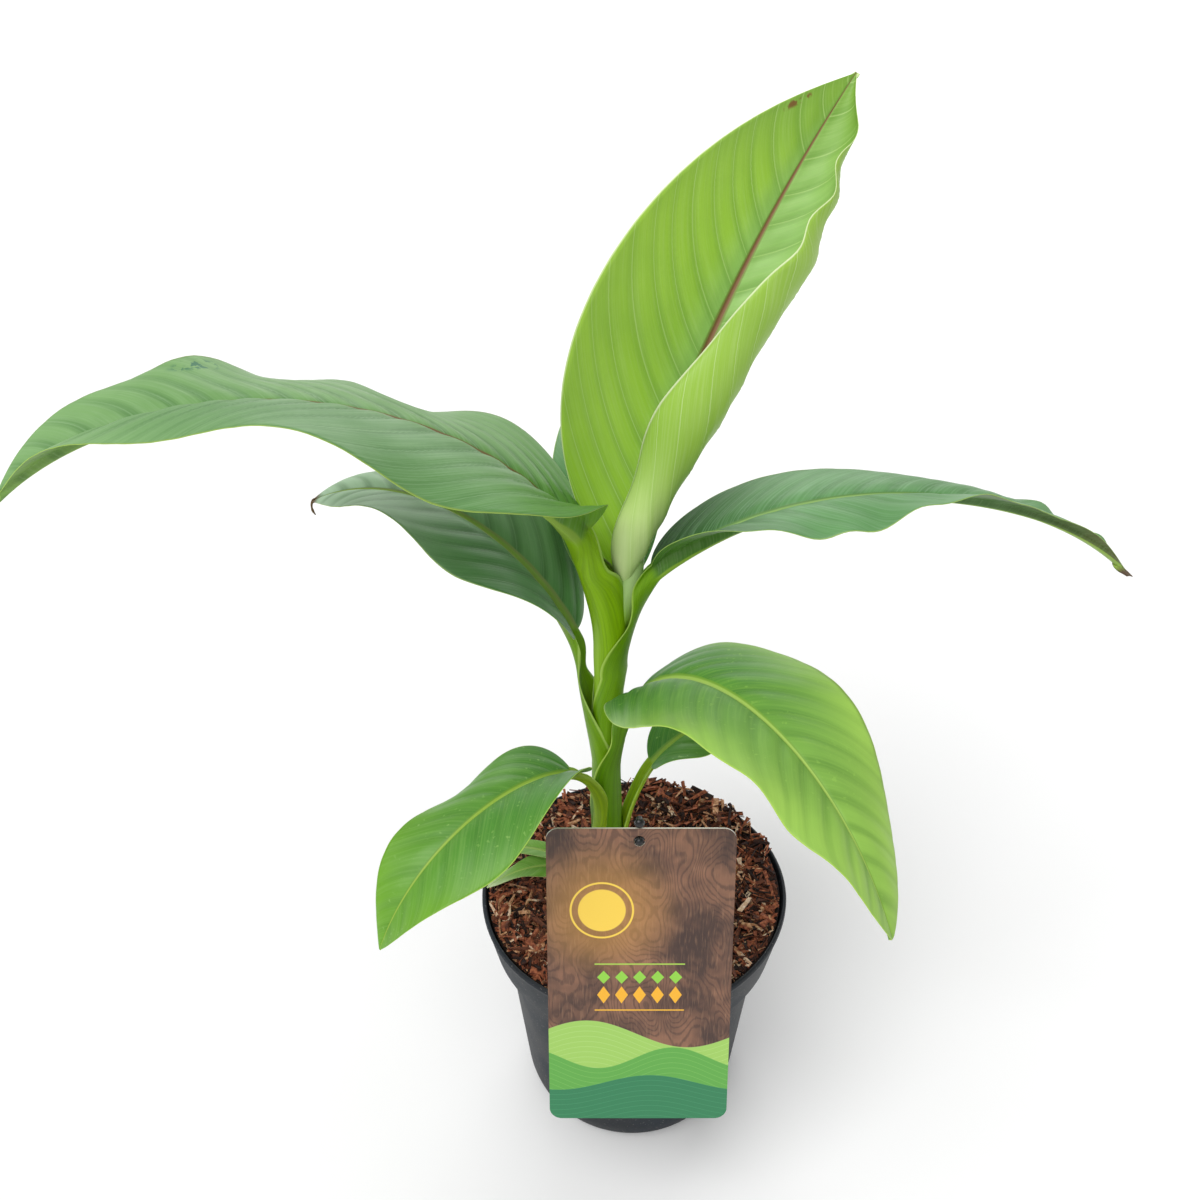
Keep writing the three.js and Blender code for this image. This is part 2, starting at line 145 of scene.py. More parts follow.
def face_outwards(points, faces):
    """Turns all faces round where the body's signed volume is negative."""
    volume = 0.0
    for part in faces:
        a, b, c = points[part[:, 0]], points[part[:, 1]], points[part[:, 2]]
        volume += np.einsum("ij,ij->", a, np.cross(b, c))
        if part.shape[1] == 4:
            volume += np.einsum("ij,ij->", a, np.cross(c, points[part[:, 3]]))
    return faces if volume > 0 else [part[:, ::-1] for part in faces]


print("3 rings of 8 points close with", sum(len(part) for part in closed_tube(3, 8)), "faces")

# %% From arrays to an object
def make_piece(name, points, faces, finishes, picks=None, maps=None, node=None, slot=None):
    """A smooth mesh object from arrays.

    `points` are (n, 3) in mm, `faces` a list of (m, 3) and (m, 4) arrays, `picks` one finish
    number per face, and `maps` UV maps by name, two numbers per point.
    """
    faces = face_outwards(points, faces)
    corners = np.concatenate([part.ravel() for part in faces])
    sizes = np.concatenate([np.full(len(part), part.shape[1]) for part in faces])
    mesh = bpy.data.meshes.new(name)
    mesh.vertices.add(len(points))
    mesh.vertices.foreach_set("co", (np.asarray(points) * MM).astype(np.float32).ravel())
    mesh.loops.add(len(corners))
    mesh.loops.foreach_set("vertex_index", corners.astype(np.int32))
    mesh.polygons.add(len(sizes))
    mesh.polygons.foreach_set("loop_start", (np.cumsum(sizes) - sizes).astype(np.int32))
    mesh.polygons.foreach_set("use_smooth", np.ones(len(sizes), bool))
    for finish in finishes:
        mesh.materials.append(finish)
    if picks is not None:
        mesh.polygons.foreach_set("material_index", np.asarray(picks, np.int32))
    for map_name, values in (maps or {}).items():
        layer = mesh.uv_layers.new(name=map_name)
        layer.data.foreach_set("uv", np.asarray(values)[corners].astype(np.float32).ravel())
    mesh.update(calc_edges=True)
    mesh.validate()
    piece = bpy.data.objects.new(name, mesh)
    bpy.context.collection.objects.link(piece)
    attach(piece, "root")
    if node:
        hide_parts(node)
    print(f"{name}: {len(points)} points, {int((sizes - 2).sum())} triangles")
    return piece


print("lengths are scaled by", MM)

# %% [markdown]
# ## Helpers for finishes
# A finish is a Principled BSDF fed by a few procedural nodes. Wired one by one they make a long
# list, so short functions do it: one adds a node and wires it at once, others do sums, and one
# makes a whole finish out of a node group. A socket knows its own tree, so sums need no tree.

# %% Nodes and sums
def colour(text):
    """'#rrggbb' as the linear colour that a shader takes."""
    part = np.array([int(text[i:i + 2], 16) for i in (1, 3, 5)]) / 255
    linear = np.where(part <= 0.04045, part / 12.92, ((part + 0.055) / 1.055) ** 2.4)
    return (*linear.tolist(), 1.0)


def add(tree, kind, inputs=None, **settings):
    """Adds a node. `inputs` gives each socket a value, or the output that feeds it."""
    made = tree.nodes.new(kind)
    for key, value in settings.items():
        setattr(made, key, value)
    for key, value in (inputs or {}).items():
        if isinstance(value, bpy.types.NodeSocket):
            tree.links.new(value, made.inputs[key])
        else:
            made.inputs[key].default_value = value
    return made


def maths(operation, *values):
    """One Math node, in the tree of the first socket among the values."""
    tree = next(value.id_data for value in values if isinstance(value, bpy.types.NodeSocket))
    return add(tree, "ShaderNodeMath", dict(enumerate(values)), operation=operation).outputs[0]


def plus(a, b):
    """a + b."""
    return maths("ADD", a, b)


def minus(a, b):
    """a - b."""
    return maths("SUBTRACT", a, b)


def times(a, b):
    """a times b."""
    return maths("MULTIPLY", a, b)


def over(a, b):
    """a divided by b."""
    return maths("DIVIDE", a, b)


print("mid grey is", round(colour("#808080")[0], 3), "in linear light")

# %% Mixes, steps and noise
def tint(share, low, high):
    """A colour between two others."""
    made = add(share.id_data, "ShaderNodeMix", {0: share, 6: low, 7: high}, data_type="RGBA")
    return made.outputs[2]


def ease(value, start, end):
    """0 before `start`, 1 after `end`, and a soft step between."""
    made = add(value.id_data, "ShaderNodeMapRange", {0: value, 1: start, 2: end},
               interpolation_type="SMOOTHSTEP")
    return made.outputs[0]


def mix_value(share, low, high):
    """A number between two others."""
    made = add(share.id_data, "ShaderNodeMix", {0: share, 2: low, 3: high}, data_type="FLOAT")
    return made.outputs[0]


def noise(vector, scale, detail, roughness=0.5):
    """Fractal noise from about 0 to 1."""
    return add(vector.id_data, "ShaderNodeTexNoise", {
        "Vector": vector, "Scale": scale, "Detail": detail, "Roughness": roughness}).outputs[0]


def stretched(vector, factors):
    """A vector times three factors, which draws a pattern out where a factor is small."""
    made = add(vector.id_data, "ShaderNodeVectorMath", {0: vector, 1: factors},
               operation="MULTIPLY")
    return made.outputs[0]


def object_place(tree):
    """The point's own place in the object, in metres."""
    return add(tree, "ShaderNodeTexCoord").outputs["Object"]


print("noise, steps and mixes are ready")

# %% Groups and finishes
def new_group(name, inputs, outputs):
    """An empty shader node group with named sockets. Returns it and its two end nodes."""
    tree = bpy.data.node_groups.new(name, "ShaderNodeTree")
    kinds = {"colour": "NodeSocketColor", "value": "NodeSocketFloat", "vector": "NodeSocketVector"}
    for label, (kind, value) in inputs.items():
        socket = tree.interface.new_socket(label, in_out="INPUT", socket_type=kinds[kind])
        if value is not None:
            socket.default_value = value
    for label, kind in outputs.items():
        tree.interface.new_socket(label, in_out="OUTPUT", socket_type=kinds[kind])
    return tree, tree.nodes.new("NodeGroupInput").outputs, tree.nodes.new("NodeGroupOutput").inputs


def new_finish(name, **settings):
    """A material with one Principled BSDF. Returns the material, its tree and the shader."""
    finish = bpy.data.materials.new(name)
    finish.use_nodes = True
    shader = finish.node_tree.nodes["Principled BSDF"]
    for key, value in settings.items():
        shader.inputs[key.replace("_", " ")].default_value = value
    return finish, finish.node_tree, shader


def grouped_finish(name, group, shades, bump, depth, shine, **values):
    """A finish that a node group feeds. `shades` gives the group's colours by name, `bump` and
    `depth` the strength of its relief and the depth in metres, `shine` the specular level, and
    other names are other inputs of the group."""
    finish, tree, shader = new_finish(name, Specular_IOR_Level=shine)
    made = add(tree, "ShaderNodeGroup", {label: colour(shade) for label, shade in shades.items()},
               node_tree=group)
    for key, value in values.items():
        made.inputs[key.replace("_", " ")].default_value = value
    relief = add(tree, "ShaderNodeBump", {"Height": made.outputs["Height"], "Strength": bump,
                                          "Distance": depth})
    tree.links.new(made.outputs["Colour"], shader.inputs["Base Color"])
    tree.links.new(made.outputs["Roughness"], shader.inputs["Roughness"])
    tree.links.new(relief.outputs[0], shader.inputs["Normal"])
    return finish


print("finishes so far:", len(bpy.data.materials))

# %% [markdown]
# ## The false stem and how a leaf grows out of it
# A banana has no woody stem. Each leaf's base is a sheath that wraps round the younger ones, and
# the oldest is outermost. So a leaf is one long surface: a rolled sheath, a channelled petiole,
# then the blade. It could be three pieces joined with seams, but one grid whose section changes
# along the way needs none, and its colours run through.

# %% Measures of the stem
SOIL_LEVEL = 161.5
STEM_X = -14.0
STEM_FOOT = 162.85
# height above the foot, radius, sideways lean: a few mm slimmer than the frame's own stem, because
# the sheaths' folded margins and the stalks that stand off it take up the rest
STEM_RINGS = np.array([[0, 14.4, 1], [22, 12.6, 0], [62, 9.7, -3.2], [108, 8.6, -3.8],
                       [158, 9.4, -3.0], [208, 10.6, -0.4], [250, 10.2, 0]])
ROUNDING = np.linspace(-11, 11, 9)  # heights over which the rings' corners are averaged away
print("stem from", STEM_FOOT, "to", STEM_FOOT + STEM_RINGS[-1, 0], "mm")

# %% Measures of the leaves
def side(width, fold, curl, lobe, wave, **more):
    """One half of a leaf. `width` is its share of the leaf's half width. `fold` is the angle at
    which it leaves the midrib and `curl` how far it turns on its way out, in degrees. `lobe` is
    how far it reaches back at the base in mm, and `wave` the margin's height in mm, number of
    waves and start."""
    return dict(width=width, fold=fold, curl=curl, lobe=lobe, wave=wave, **more)


# Three numbers in a row are values at the base, towards the middle and at the tip. `sheath` is
# where its margins have opened to 60 degrees from its own middle, in mm along the midline, and
# how many degrees more they wrap for each mm further down. `nudge` moves the foot of a petiole
# by that many mm, `open` replaces the 60 degrees, `proud` thickens the middle of a sheath that
# stands off the stem like a stalk, and `turn` is how far round the stem such a sheath sets.
LEAVES = {
    "leaf_crown": dict(
        root=(-14, 0, 358), azimuth=40, sweep=-5, rise=83, fall=48, bend=0.7, petiole=32,
        stalk=(8, 4), channel=2.2, blade=277, half=66, widest=0.48, shoulder=0.98,
        bank=(4, 40, 49),
        left=side(1, (14, 26, 7), (22, 42, 15), 0, (0, 0, 0)),
        right=side(1.09, (-24, -13, -28), (255, 213, 117), 0, (3.6, 3.4, 0.47), base=0.8,
                   frill=(3.8, 8.5, 0.78, 0.16)), sheath=(24, 2.5)),
    "leaf_left": dict(
        root=(-14, 0, 359), azimuth=199, sweep=-20, rise=90, fall=-44, bend=0.93, petiole=73,
        stalk=(9, 6), channel=1.6, blade=319, half=65, widest=0.31, shoulder=0.58,
        bank=(2, 27, -19), pleat=1.15,
        left=side(1, (7, -3, 52), (-13, -45, -14), -12, (9, 2.6, 0.94), base=0.62,
                  cup=(64, 0.075)),
        right=side(1.11, (30, -42, 66), (-3, -37, -4), 14, (3.8, 3.8, 0.65),
                   frill=(2.5, 5, 0.7, 0.14)), sheath=(100, 1.7)),
    "leaf_right": dict(
        root=(-14, 0, 341), azimuth=-13, sweep=27, rise=107, fall=-46, bend=0.62, petiole=70,
        nudge=(1.3, -0.5, 0), stalk=(7.5, 4.4), channel=1.9, blade=285, half=33, widest=0.27,
        shoulder=0.52, bank=(-4, -10, 1),
        left=side(1, (26, -14, 38), (-4, -30, -29), 12, (2, 1.6, 0.78),
                  frill=(4.5, 7, 0.84, 0.13)),
        right=side(1, (24, -33, 112), (-2, -22, -30), -12, (7, 2.5, 0.82), base=0.6,
                   cup=(32, 0.12), frill=(2.2, 9, 0.4, 0.2)), sheath=(31, 1.85)),
    "leaf_back_left": dict(
        root=(-14, 0, 276), azimuth=148, sweep=15, rise=83, fall=-34, bend=1.4, petiole=85,
        stalk=(7, 3.8), blade=187, half=39, widest=0.38, shoulder=0.59, bank=(5, 0, -3),
        left=side(1.08, (25, 10, 10), (-2, -16, -16), 14, (8, 1.8, 0.04)),
        right=side(1, (20, 10, 12), (-13, -23, -16), 9, (5.7, 1.44, 0.78)), sheath=(52, 2.1)),
    "leaf_front_right": dict(
        root=(-14, 0, 270), azimuth=-54, sweep=-5, rise=88, fall=-59, bend=1.07, petiole=73,
        stalk=(7, 4.4), blade=232, half=45, widest=0.39, shoulder=0.49, bank=(8, -4, -25),
        left=side(1.01, (13, 14, 11), (-23, -16, -16), 17, (3.3, 2, 0.12)),
        right=side(1, (-12, 13, 23), (-19, -12, -18), 5, (4, 2, 0.22), base=0.45, cup=(28, 0.08),
                   frill=(3, 5, 0.7, 0.2)), sheath=(15, 1.8)),
    "leaf_front_left": dict(
        root=(-14, 0, 224), azimuth=227, sweep=-7, rise=93, fall=-66, bend=0.88, petiole=71,
        turn=-16, open=35, proud=2.4, nudge=(-1.5, -3, 0), stalk=(4.6, 2.8), channel=1.5,
        blade=160, half=32, widest=0.38, shoulder=0.54, bank=(10, 3, -10),
        left=side(1.18, (24, 8, 12), (-3, -15, -2), 1, (8.5, 1.37, 0.98)),
        right=side(0.98, (22, 4, 9), (-18, -38, -20), 6, (9.4, 1.38, 0.2)), sheath=(-5, 0.12)),
    "leaf_low_right": dict(
        root=(-9, 3, 190), azimuth=28, sweep=-4, rise=92, fall=-85, bend=1.5, petiole=75,
        nudge=(3.6, -6, 0), stalk=(3.6, 2.6), channel=1.6, blade=112, half=25, widest=0.43,
        shoulder=0.55, bank=(-2, 2, 1),
        left=side(1, (19, 14, 8), (-13, -16, -20), -4, (1, 3, 0.14)),
        right=side(1, (22, 12, 7), (-9, -17, -20), 10, (4.8, 2.8, 0)), sheath=(-5, 2.5)),
    "leaf_back": dict(
        root=(-14, 2, 305), azimuth=84, sweep=6, rise=86, fall=-42, bend=1, petiole=84,
        stalk=(7, 4), blade=190, half=34, widest=0.36, shoulder=0.5, bank=(0, 0, 0),
        left=side(1.2, (24, 14, 8), (-10, -16, -24), 26, (3, 1.6, 0.2)),
        right=side(0.75, (24, 14, 8), (-10, -16, -24), 26, (3, 1.8, 0.6)), sheath=(35, 0.9)),
    "leaf_young_left": dict(
        root=(-19, 5, 167), azimuth=168, sweep=-4, rise=46, fall=-34, bend=1, petiole=22,
        stalk=(3, 1.8), blade=62, half=6.5, widest=0.4, shoulder=0.55, bank=(0, 0, 0),
        left=side(1, (20, 14, 8), (-10, -12, -15), 0, (0, 0, 0)),
        right=side(1, (20, 14, 8), (-10, -12, -15), 0, (0, 0, 0)), sheath=None),
    "leaf_young_front": dict(
        root=(-17, 3, 167), azimuth=164, sweep=44, rise=34, fall=-26, bend=1, petiole=18,
        stalk=(3, 1.8), blade=62, half=8, widest=0.4, shoulder=0.55, bank=(0, 0, 0),
        left=side(1, (16, 10, 4), (-10, -12, -15), 0, (2, 1.5, 0.2)),
        right=side(1, (16, 10, 4), (-10, -12, -15), 0, (2, 1.5, 0.6)), sheath=None),
}
print(len(LEAVES), "leaves, the longest", max(leaf["blade"] for leaf in LEAVES.values()), "mm")

# %% The stem's outline and the sheaths' places in it
OUTER_FIRST = ["leaf_low_right", "leaf_front_left", "leaf_front_right", "leaf_back_left",
               "leaf_back", "leaf_right", "leaf_left", "leaf_crown"]
LAYER = 0.7  # how much further in each younger sheath lies
LAYER_END, LAYER_FADE = 24, 30  # mm over its open top at which an older layer is gone, and its fade


def stem_radius(z):
    """The rings' radius at height z, averaged over ROUNDING so that no ring shows as a corner."""
    return np.interp(z[:, None] - STEM_FOOT + ROUNDING, STEM_RINGS[:, 0], STEM_RINGS[:, 1]).mean(1)


def stem_axis(z):
    """The middle of the stem at height z, likewise, as (n, 3) points."""
    lean = np.interp(z[:, None] - STEM_FOOT + ROUNDING, STEM_RINGS[:, 0], STEM_RINGS[:, 2]).mean(1)
    return np.stack([STEM_X + lean, 0 * z, z], -1)


def sheath_radius(name, z):
    """Outer radius of a leaf's sheath: the stem's own, less a layer for each older sheath that
    reaches as high as z. Each layer fades in over LAYER_FADE."""
    older = OUTER_FIRST[:OUTER_FIRST.index(name)]
    tops = [LEAVES[other]["root"][2] + LEAVES[other]["sheath"][0] for other in older]
    layers = sum((smooth((top + LAYER_END - z) / LAYER_FADE) for top in tops), 0 * z)
    return stem_radius(z) - LAYER * layers


print("stem radius at 200, 300 and 400 mm:", stem_radius(np.array([200.0, 300, 400])).round(1))

# %% [markdown]
# ## The leaf's surface
# The midline starts in the stem and adds up its heading: it turns about Z by `sweep` and its
# climb goes from `rise` to `fall`. A section is set across it at each station. Each half leaves
# the midline at `fold` and turns by `curl` on its way out, so it is an arc. A rolled sheath and a
# flat blade are the same arc with other numbers, and soft steps lead from one to the other.

# %% Midline
STEP = 0.5  # mm between the points that add up the midline
LEAVING = 30  # mm under the root over which a leaf comes off the stem's own line
SETTING = 25  # mm under the root over which a sheath turns to its own side


def along_leaf(values, u):
    """Curve through a value at the base, pulled towards the middle one, to the tip."""
    base, middle, tip = values
    return (1 - u) ** 2 * base + 2 * u * (1 - u) * middle + u ** 2 * tip


def heading(leaf, s):
    """Direction along the midline, the level direction across it, and the leaf's own up."""
    t = np.clip(s / (leaf["petiole"] + leaf["blade"]), 0, 1)
    climb = mix(leaf["rise"], leaf["fall"], t ** leaf["bend"])
    climb = np.radians(mix(90, climb, smooth((s + LEAVING) / LEAVING)) if leaf["sheath"] else climb)
    turn = leaf["azimuth"] + leaf["sweep"] * t + leaf.get("turn", 0) * smooth(-s / SETTING)
    turn = np.radians(turn)
    ahead = np.stack([np.cos(climb) * np.cos(turn), np.cos(climb) * np.sin(turn),
                      np.sin(climb)], -1)
    across = np.stack([-np.sin(turn), np.cos(turn), 0 * turn], -1)
    return ahead, across, np.cross(ahead, across)


def midline(leaf, s):
    """Points at the distances s: the root plus the sum of the headings. A sheathed leaf starts on
    the stem's own axis, below the root as well, and leaves it in the course of its petiole."""
    root = np.array(leaf["root"], float)
    fine = np.arange(0, leaf["petiole"] + leaf["blade"] + STEP, STEP)
    steps = heading(leaf, fine[:-1] + STEP / 2)[0] * STEP
    added = root + np.concatenate([np.zeros((1, 3)), np.cumsum(steps, 0)])
    points = np.stack([np.interp(s, fine, added[:, i]) for i in range(3)], -1)
    if not leaf["sheath"]:
        return points
    fade = (1 - smooth(s / leaf["petiole"]))[:, None]
    points = points + fade * (stem_axis(root[2:])[0] - root)
    points = np.where(s[:, None] < 0, stem_axis(root[2] + s), points)
    return points + fade * smooth((s + LEAVING) / LEAVING)[:, None] * leaf.get("nudge", (0, 0, 0))


print("the crown leaf's tip is at", midline(LEAVES["leaf_crown"], np.array([309.0]))[0].round(0))

# %% Stations and widths
STATIONS, PETIOLE_STATIONS = 150, 40
OPEN_TOP = 60  # degrees at which a sheath counts as open
FULL_WRAP, WRAP_EASE = 176, 9  # degrees at which a margin stops, and how softly


def stations(leaf):
    """Distances along the midline: even in the sheath and petiole, and spaced like the points of
    a half circle on the blade, so that both its ends are fine."""
    turn = np.linspace(0.004, 0.998, STATIONS) * np.pi
    blade = leaf["petiole"] + leaf["blade"] * (0.5 - 0.5 * np.cos(turn))
    petiole = np.linspace(0, leaf["petiole"], PETIOLE_STATIONS, endpoint=False)
    if not leaf["sheath"]:
        return np.concatenate([petiole, blade])
    foot = SOIL_LEVEL - 3 - leaf["root"][2]
    sheath = np.linspace(foot, 0, max(6, int(-foot / 4)), endpoint=False)
    return np.concatenate([sheath, petiole, blade])


def wrap_angle(leaf, s):
    """How far round the stem a sheath's margin lies, in degrees from its middle: OPEN_TOP at the
    sheath's top, a fixed slope below it, levelling off softly at FULL_WRAP."""
    top, slope = leaf["sheath"]
    spare = (FULL_WRAP - leaf.get("open", OPEN_TOP) - slope * (top - s)) / WRAP_EASE
    return FULL_WRAP - np.log1p(np.exp(np.clip(spare, -40, 40))) * WRAP_EASE


def blade_width(leaf, half, u):
    """Half width of the blade: zero at both ends and full at `widest`, by two powers. A half
    with a rounder base has its own power there, `base`, which fades into the other."""
    m, p = leaf["widest"], leaf["shoulder"]
    inner = (u / m) ** mix(half.get("base", p), p, smooth(u / m))
    outer = ((1 - u) / (1 - m)) ** (p * (1 - m) / m)
    return leaf["half"] * half["width"] * inner * outer


def cupping(half, u):
    """Degrees that a half folds up further at the blade's base, fading over a share of it."""
    angle, reach = half.get("cup", (0, 0.1))
    return angle * np.exp(-(u / reach) ** 2)


def frill(half, u):
    """Short waves of a margin round one place: height sin(2 pi waves u), faded both ways."""
    height, waves, middle, spread = half.get("frill", (0, 1, 0.5, 0.1))
    return height * np.sin(2 * np.pi * waves * u) * np.exp(-((u - middle) / spread) ** 2)


print("stations on the crown leaf:", len(stations(LEAVES["leaf_crown"])))

# %% Rolled up along the way
SHEATH_THICK, BLADE_THICK, MARGIN_THICK = 1.1, 0.55, 0.3
KEEL = 1.4  # depth of the petiole and rib under the upper face, in half widths of the stalk
CHANNEL_ROLL = 0.6  # radius of a petiole's channel, as a share of its outer radius
CHANNEL_OPENS = 0.68  # share of the petiole after which its channel opens into the blade
FREE_ABOVE = 30  # mm over the sheath's open top at which the leaf is free of the stem
UNWRAP, THIN = 28, 45  # mm over which it unrolls from the stem and thins to the stalk


def rolled_up(name, leaf, s, u, z):
    """What changes along the way, one value for each station: the stalk's half width, shares of
    opening into a blade and of wrapping round the stem, the outer radius, that of the roll, how
    much of it is left, and how far round the margins lie."""
    proud = leaf.get("proud", 0)
    stalk = mix(*leaf["stalk"], np.clip(s / leaf["petiole"], 0, 1)) * mix(1, 0.3, u)
    opened = smooth((s - CHANNEL_OPENS * leaf["petiole"])
                    / ((1 - CHANNEL_OPENS) * leaf["petiole"] + 2))
    wrapped, outer, round_angle = 0 * s, KEEL * stalk, 0 * s + 1
    if leaf["sheath"]:
        free = min(leaf["sheath"][0] + FREE_ABOVE, 0.95 * leaf["petiole"])
        wrapped = smooth((free - s) / UNWRAP)
        outer = mix(outer, sheath_radius(name, z) + proud, smooth((free - s) / THIN))
        round_angle = np.radians(wrap_angle(leaf, s))
    roll = mix(CHANNEL_ROLL * outer, outer - SHEATH_THICK - proud, wrapped)
    return dict(stalk=stalk, opened=opened, wrapped=wrapped, outer=outer, roll=roll,
                inner=mix(roll, 0, opened), round_angle=round_angle)


print("a blade is", BLADE_THICK, "mm thick and a sheath", SHEATH_THICK)

# %% Relief of the skin
VEIN_GAP = 18.0
PLEAT = 1.3  # how high the blade swells between two side veins
LIP = 0.9  # how far a sheath's margin stands off the stem


def swept(beyond, reach, v):
    """The place on the midrib that a point's side vein comes from, in mm. Veins leave it at about
    50 degrees, lean over to the tip on their way out, and aren't quite evenly spaced."""
    foot = beyond - np.abs(reach) * (0.75 + 0.55 * v)
    return foot + 3.0 * np.sin(foot / 27) + 1.6 * np.sin(foot / 10.3 + np.sign(reach))


def raised(leaf, s, sign, reach, v, width, opened, wrapped):
    """How far a point of the upper face stands out: pleats |sin(pi foot / VEIN_GAP)| between the
    veins, flatter to the midrib and the margin, less the lip of a sheath's margin."""
    foot = swept((s - leaf["petiole"])[:, None], sign * reach, v)
    pleat = PLEAT * np.abs(np.sin(np.pi * foot / VEIN_GAP)) ** 0.8 * opened[:, None]
    pleat = pleat * leaf.get("pleat", 1) * smooth(reach / 9) * (1.15 - v) * smooth(width / 20)
    return pleat - LIP * smooth((v - 0.82) / 0.18) * wrapped[:, None]


print("side veins every", VEIN_GAP, "mm")

# %% One half of every section
COLUMNS = 30  # on each half, closer together near the midrib
SPREAD = 1.5
CHANNEL = 78  # degrees that each side of a petiole curls up


def half_section(leaf, half, sign, s, u, middle, axes, way):
    """Upper points, lower points and signed reach of one half at every station. A point at share
    v lies on an arc: its angle is fold + curl v and its radius width / curl. The margin's waves
    and the relief push it along the arc's normal, and the lower face follows at the thickness,
    which swells to the rib by half an ellipse."""
    ahead, across, up = axes
    stalk, opened, wrapped, outer, roll, inner, round_angle = way.values()
    fold = mix(0, np.radians(along_leaf(half["fold"], u) + cupping(half, u)), opened)
    curl = mix(np.radians(CHANNEL), np.radians(along_leaf(half["curl"], u)), opened)
    curl = mix(curl, round_angle, wrapped)
    curl = np.where(np.abs(curl) < 1e-4, 1e-4, curl)[:, None]
    channel = leaf.get("channel", 1.25) * stalk * (1 - u) ** 2
    width = np.maximum(np.maximum(blade_width(leaf, half, u), channel), 0.5)
    width = mix(width, roll * round_angle, wrapped)[:, None]
    v = (np.arange(COLUMNS + 1) / COLUMNS)[None, :] ** SPREAD
    reach = v * width

    angle, start = fold[:, None] + curl * v, fold[:, None]
    height, waves, phase = half["wave"]
    ripple = height * np.sin(2 * np.pi * (waves * u + phase))[:, None] * v * v
    ripple = ripple * (width / leaf["half"]) * opened[:, None] + frill(half, u)[:, None] * v ** 3
    radius = width / curl
    out = radius * (np.sin(angle) - np.sin(start)) - ripple * np.sin(angle)
    lift = radius * (np.cos(start) - np.cos(angle)) + ripple * np.cos(angle)
    back = -half["lobe"] * (reach / leaf["half"]) * ((1 - u) ** 6 * opened)[:, None]
    normal = (up[:, None] * np.cos(angle)[..., None]
              - sign * across[:, None] * np.sin(angle)[..., None])
    face = ((middle - up * inner[:, None])[:, None] + across[:, None] * (sign * out)[..., None]
            + up[:, None] * lift[..., None] + ahead[:, None] * back[..., None])
    face = face + normal * raised(leaf, s, sign, reach, v, width, opened, wrapped)[..., None]

    edge = mix(MARGIN_THICK, BLADE_THICK, smooth((1 - v) * width / 6))
    rib = mix(mix(width[:, 0], 1.1 * stalk, opened), width[:, 0], wrapped)[:, None]
    swell = np.sqrt(np.clip(1 - (reach / rib) ** 2, 0, 1))
    thick = edge + np.maximum((outer - inner)[:, None] - edge, 0) * swell
    stalk = stalk[:, None]
    groove = 0.3 * stalk * np.exp(-(reach / (0.5 * stalk)) ** 2) * opened[:, None]
    return face - normal * groove[..., None], face - normal * thick[..., None], sign * reach


print("points across a leaf:", 2 * (2 * COLUMNS + 1))

# %% The whole surface
def leaf_surface(name, leaf):
    """Upper and lower points of a leaf as grids (stations, columns from margin to margin), with
    each point's signed reach and each station's distance s. `bank` tilts the section."""
    s = stations(leaf)
    u = np.clip((s - leaf["petiole"]) / leaf["blade"], 0, 1)
    ahead, across, up = heading(leaf, s)
    bank = np.radians(along_leaf(leaf["bank"], u))[:, None]
    axes = (ahead, across * np.cos(bank) + up * np.sin(bank),
            up * np.cos(bank) - across * np.sin(bank))
    middle = midline(leaf, s)
    way = rolled_up(name, leaf, s, u, middle[:, 2])
    left, right = (half_section(leaf, leaf[half], sign, s, u, middle, axes, way)
                   for half, sign in (("left", 1), ("right", -1)))
    return (*(np.concatenate([a[:, ::-1], b[:, 1:]], 1) for a, b in zip(left, right)), s)


def leaf_piece(name, leaf, finishes, slot):
    """One closed body: the upper grid and, the other way, the lower one, closed at both ends. Two
    UV maps hold each point's place: "vein" its vein's foot and its reach in cm, "blade" its
    shares of the blade's length and half width."""
    upper, lower, reach, s = leaf_surface(name, leaf)
    loop = np.concatenate([upper, lower[:, ::-1]], 1)
    rows, columns = loop.shape[:2]
    points = np.concatenate([loop.reshape(-1, 3), loop[0].mean(0)[None], loop[-1].mean(0)[None]])
    half = columns // 2
    under = np.tile((np.arange(columns) >= half).astype(int), rows - 1)
    picks = np.concatenate([under, np.zeros(2 * columns, int)])
    signed = np.concatenate([reach, reach[:, ::-1]], 1)
    share = np.linspace(1, -1, half)
    share = np.sign(share) * np.abs(share) ** SPREAD
    share = np.tile(np.concatenate([share, share[::-1]]), (rows, 1))
    beyond = np.repeat((s - leaf["petiole"])[:, None], columns, 1)
    places = {"vein": np.stack([swept(beyond, signed, np.abs(share)) / 10, signed / 10], -1),
              "blade": np.stack([beyond / leaf["blade"], share], -1)}
    maps = {label: np.concatenate([place.reshape(-1, 2), place[0, :1], place[-1, -1:]])
            for label, place in places.items()}
    return make_piece(name + "_grown", points, closed_tube(rows, columns), finishes, picks, maps,
                      name, slot)


print("the crown leaf's grid:", leaf_surface("leaf_crown", LEAVES["leaf_crown"])[0].shape)

# %% [markdown]
# ## What a banana leaf's skin looks like
# Side veins leave the midrib every 18 mm or so and sweep towards the tip. Between them run fine
# parallel streaks, and the hollow that each vein lies in is painted a little darker, as shade. A
# painted image would be stretched where the blade bends. The two UV maps follow the blade instead,
# so formulas on them place veins, streaks, rib and margin exactly.

# %% Patterns of a leaf's skin
def vein_masks(along):
    """Along the blade in cm: thin pale lines every 1.8 cm, and the hollow that each lies in, as
    the mask of a painted shade.
    """
    phase = maths("FRACT", over(along, VEIN_GAP / 10))
    near = minus(0.5, maths("ABSOLUTE", minus(phase, 0.5)))
    return ease(near, 0.03, 0.006), ease(near, 0.3, 0.03)


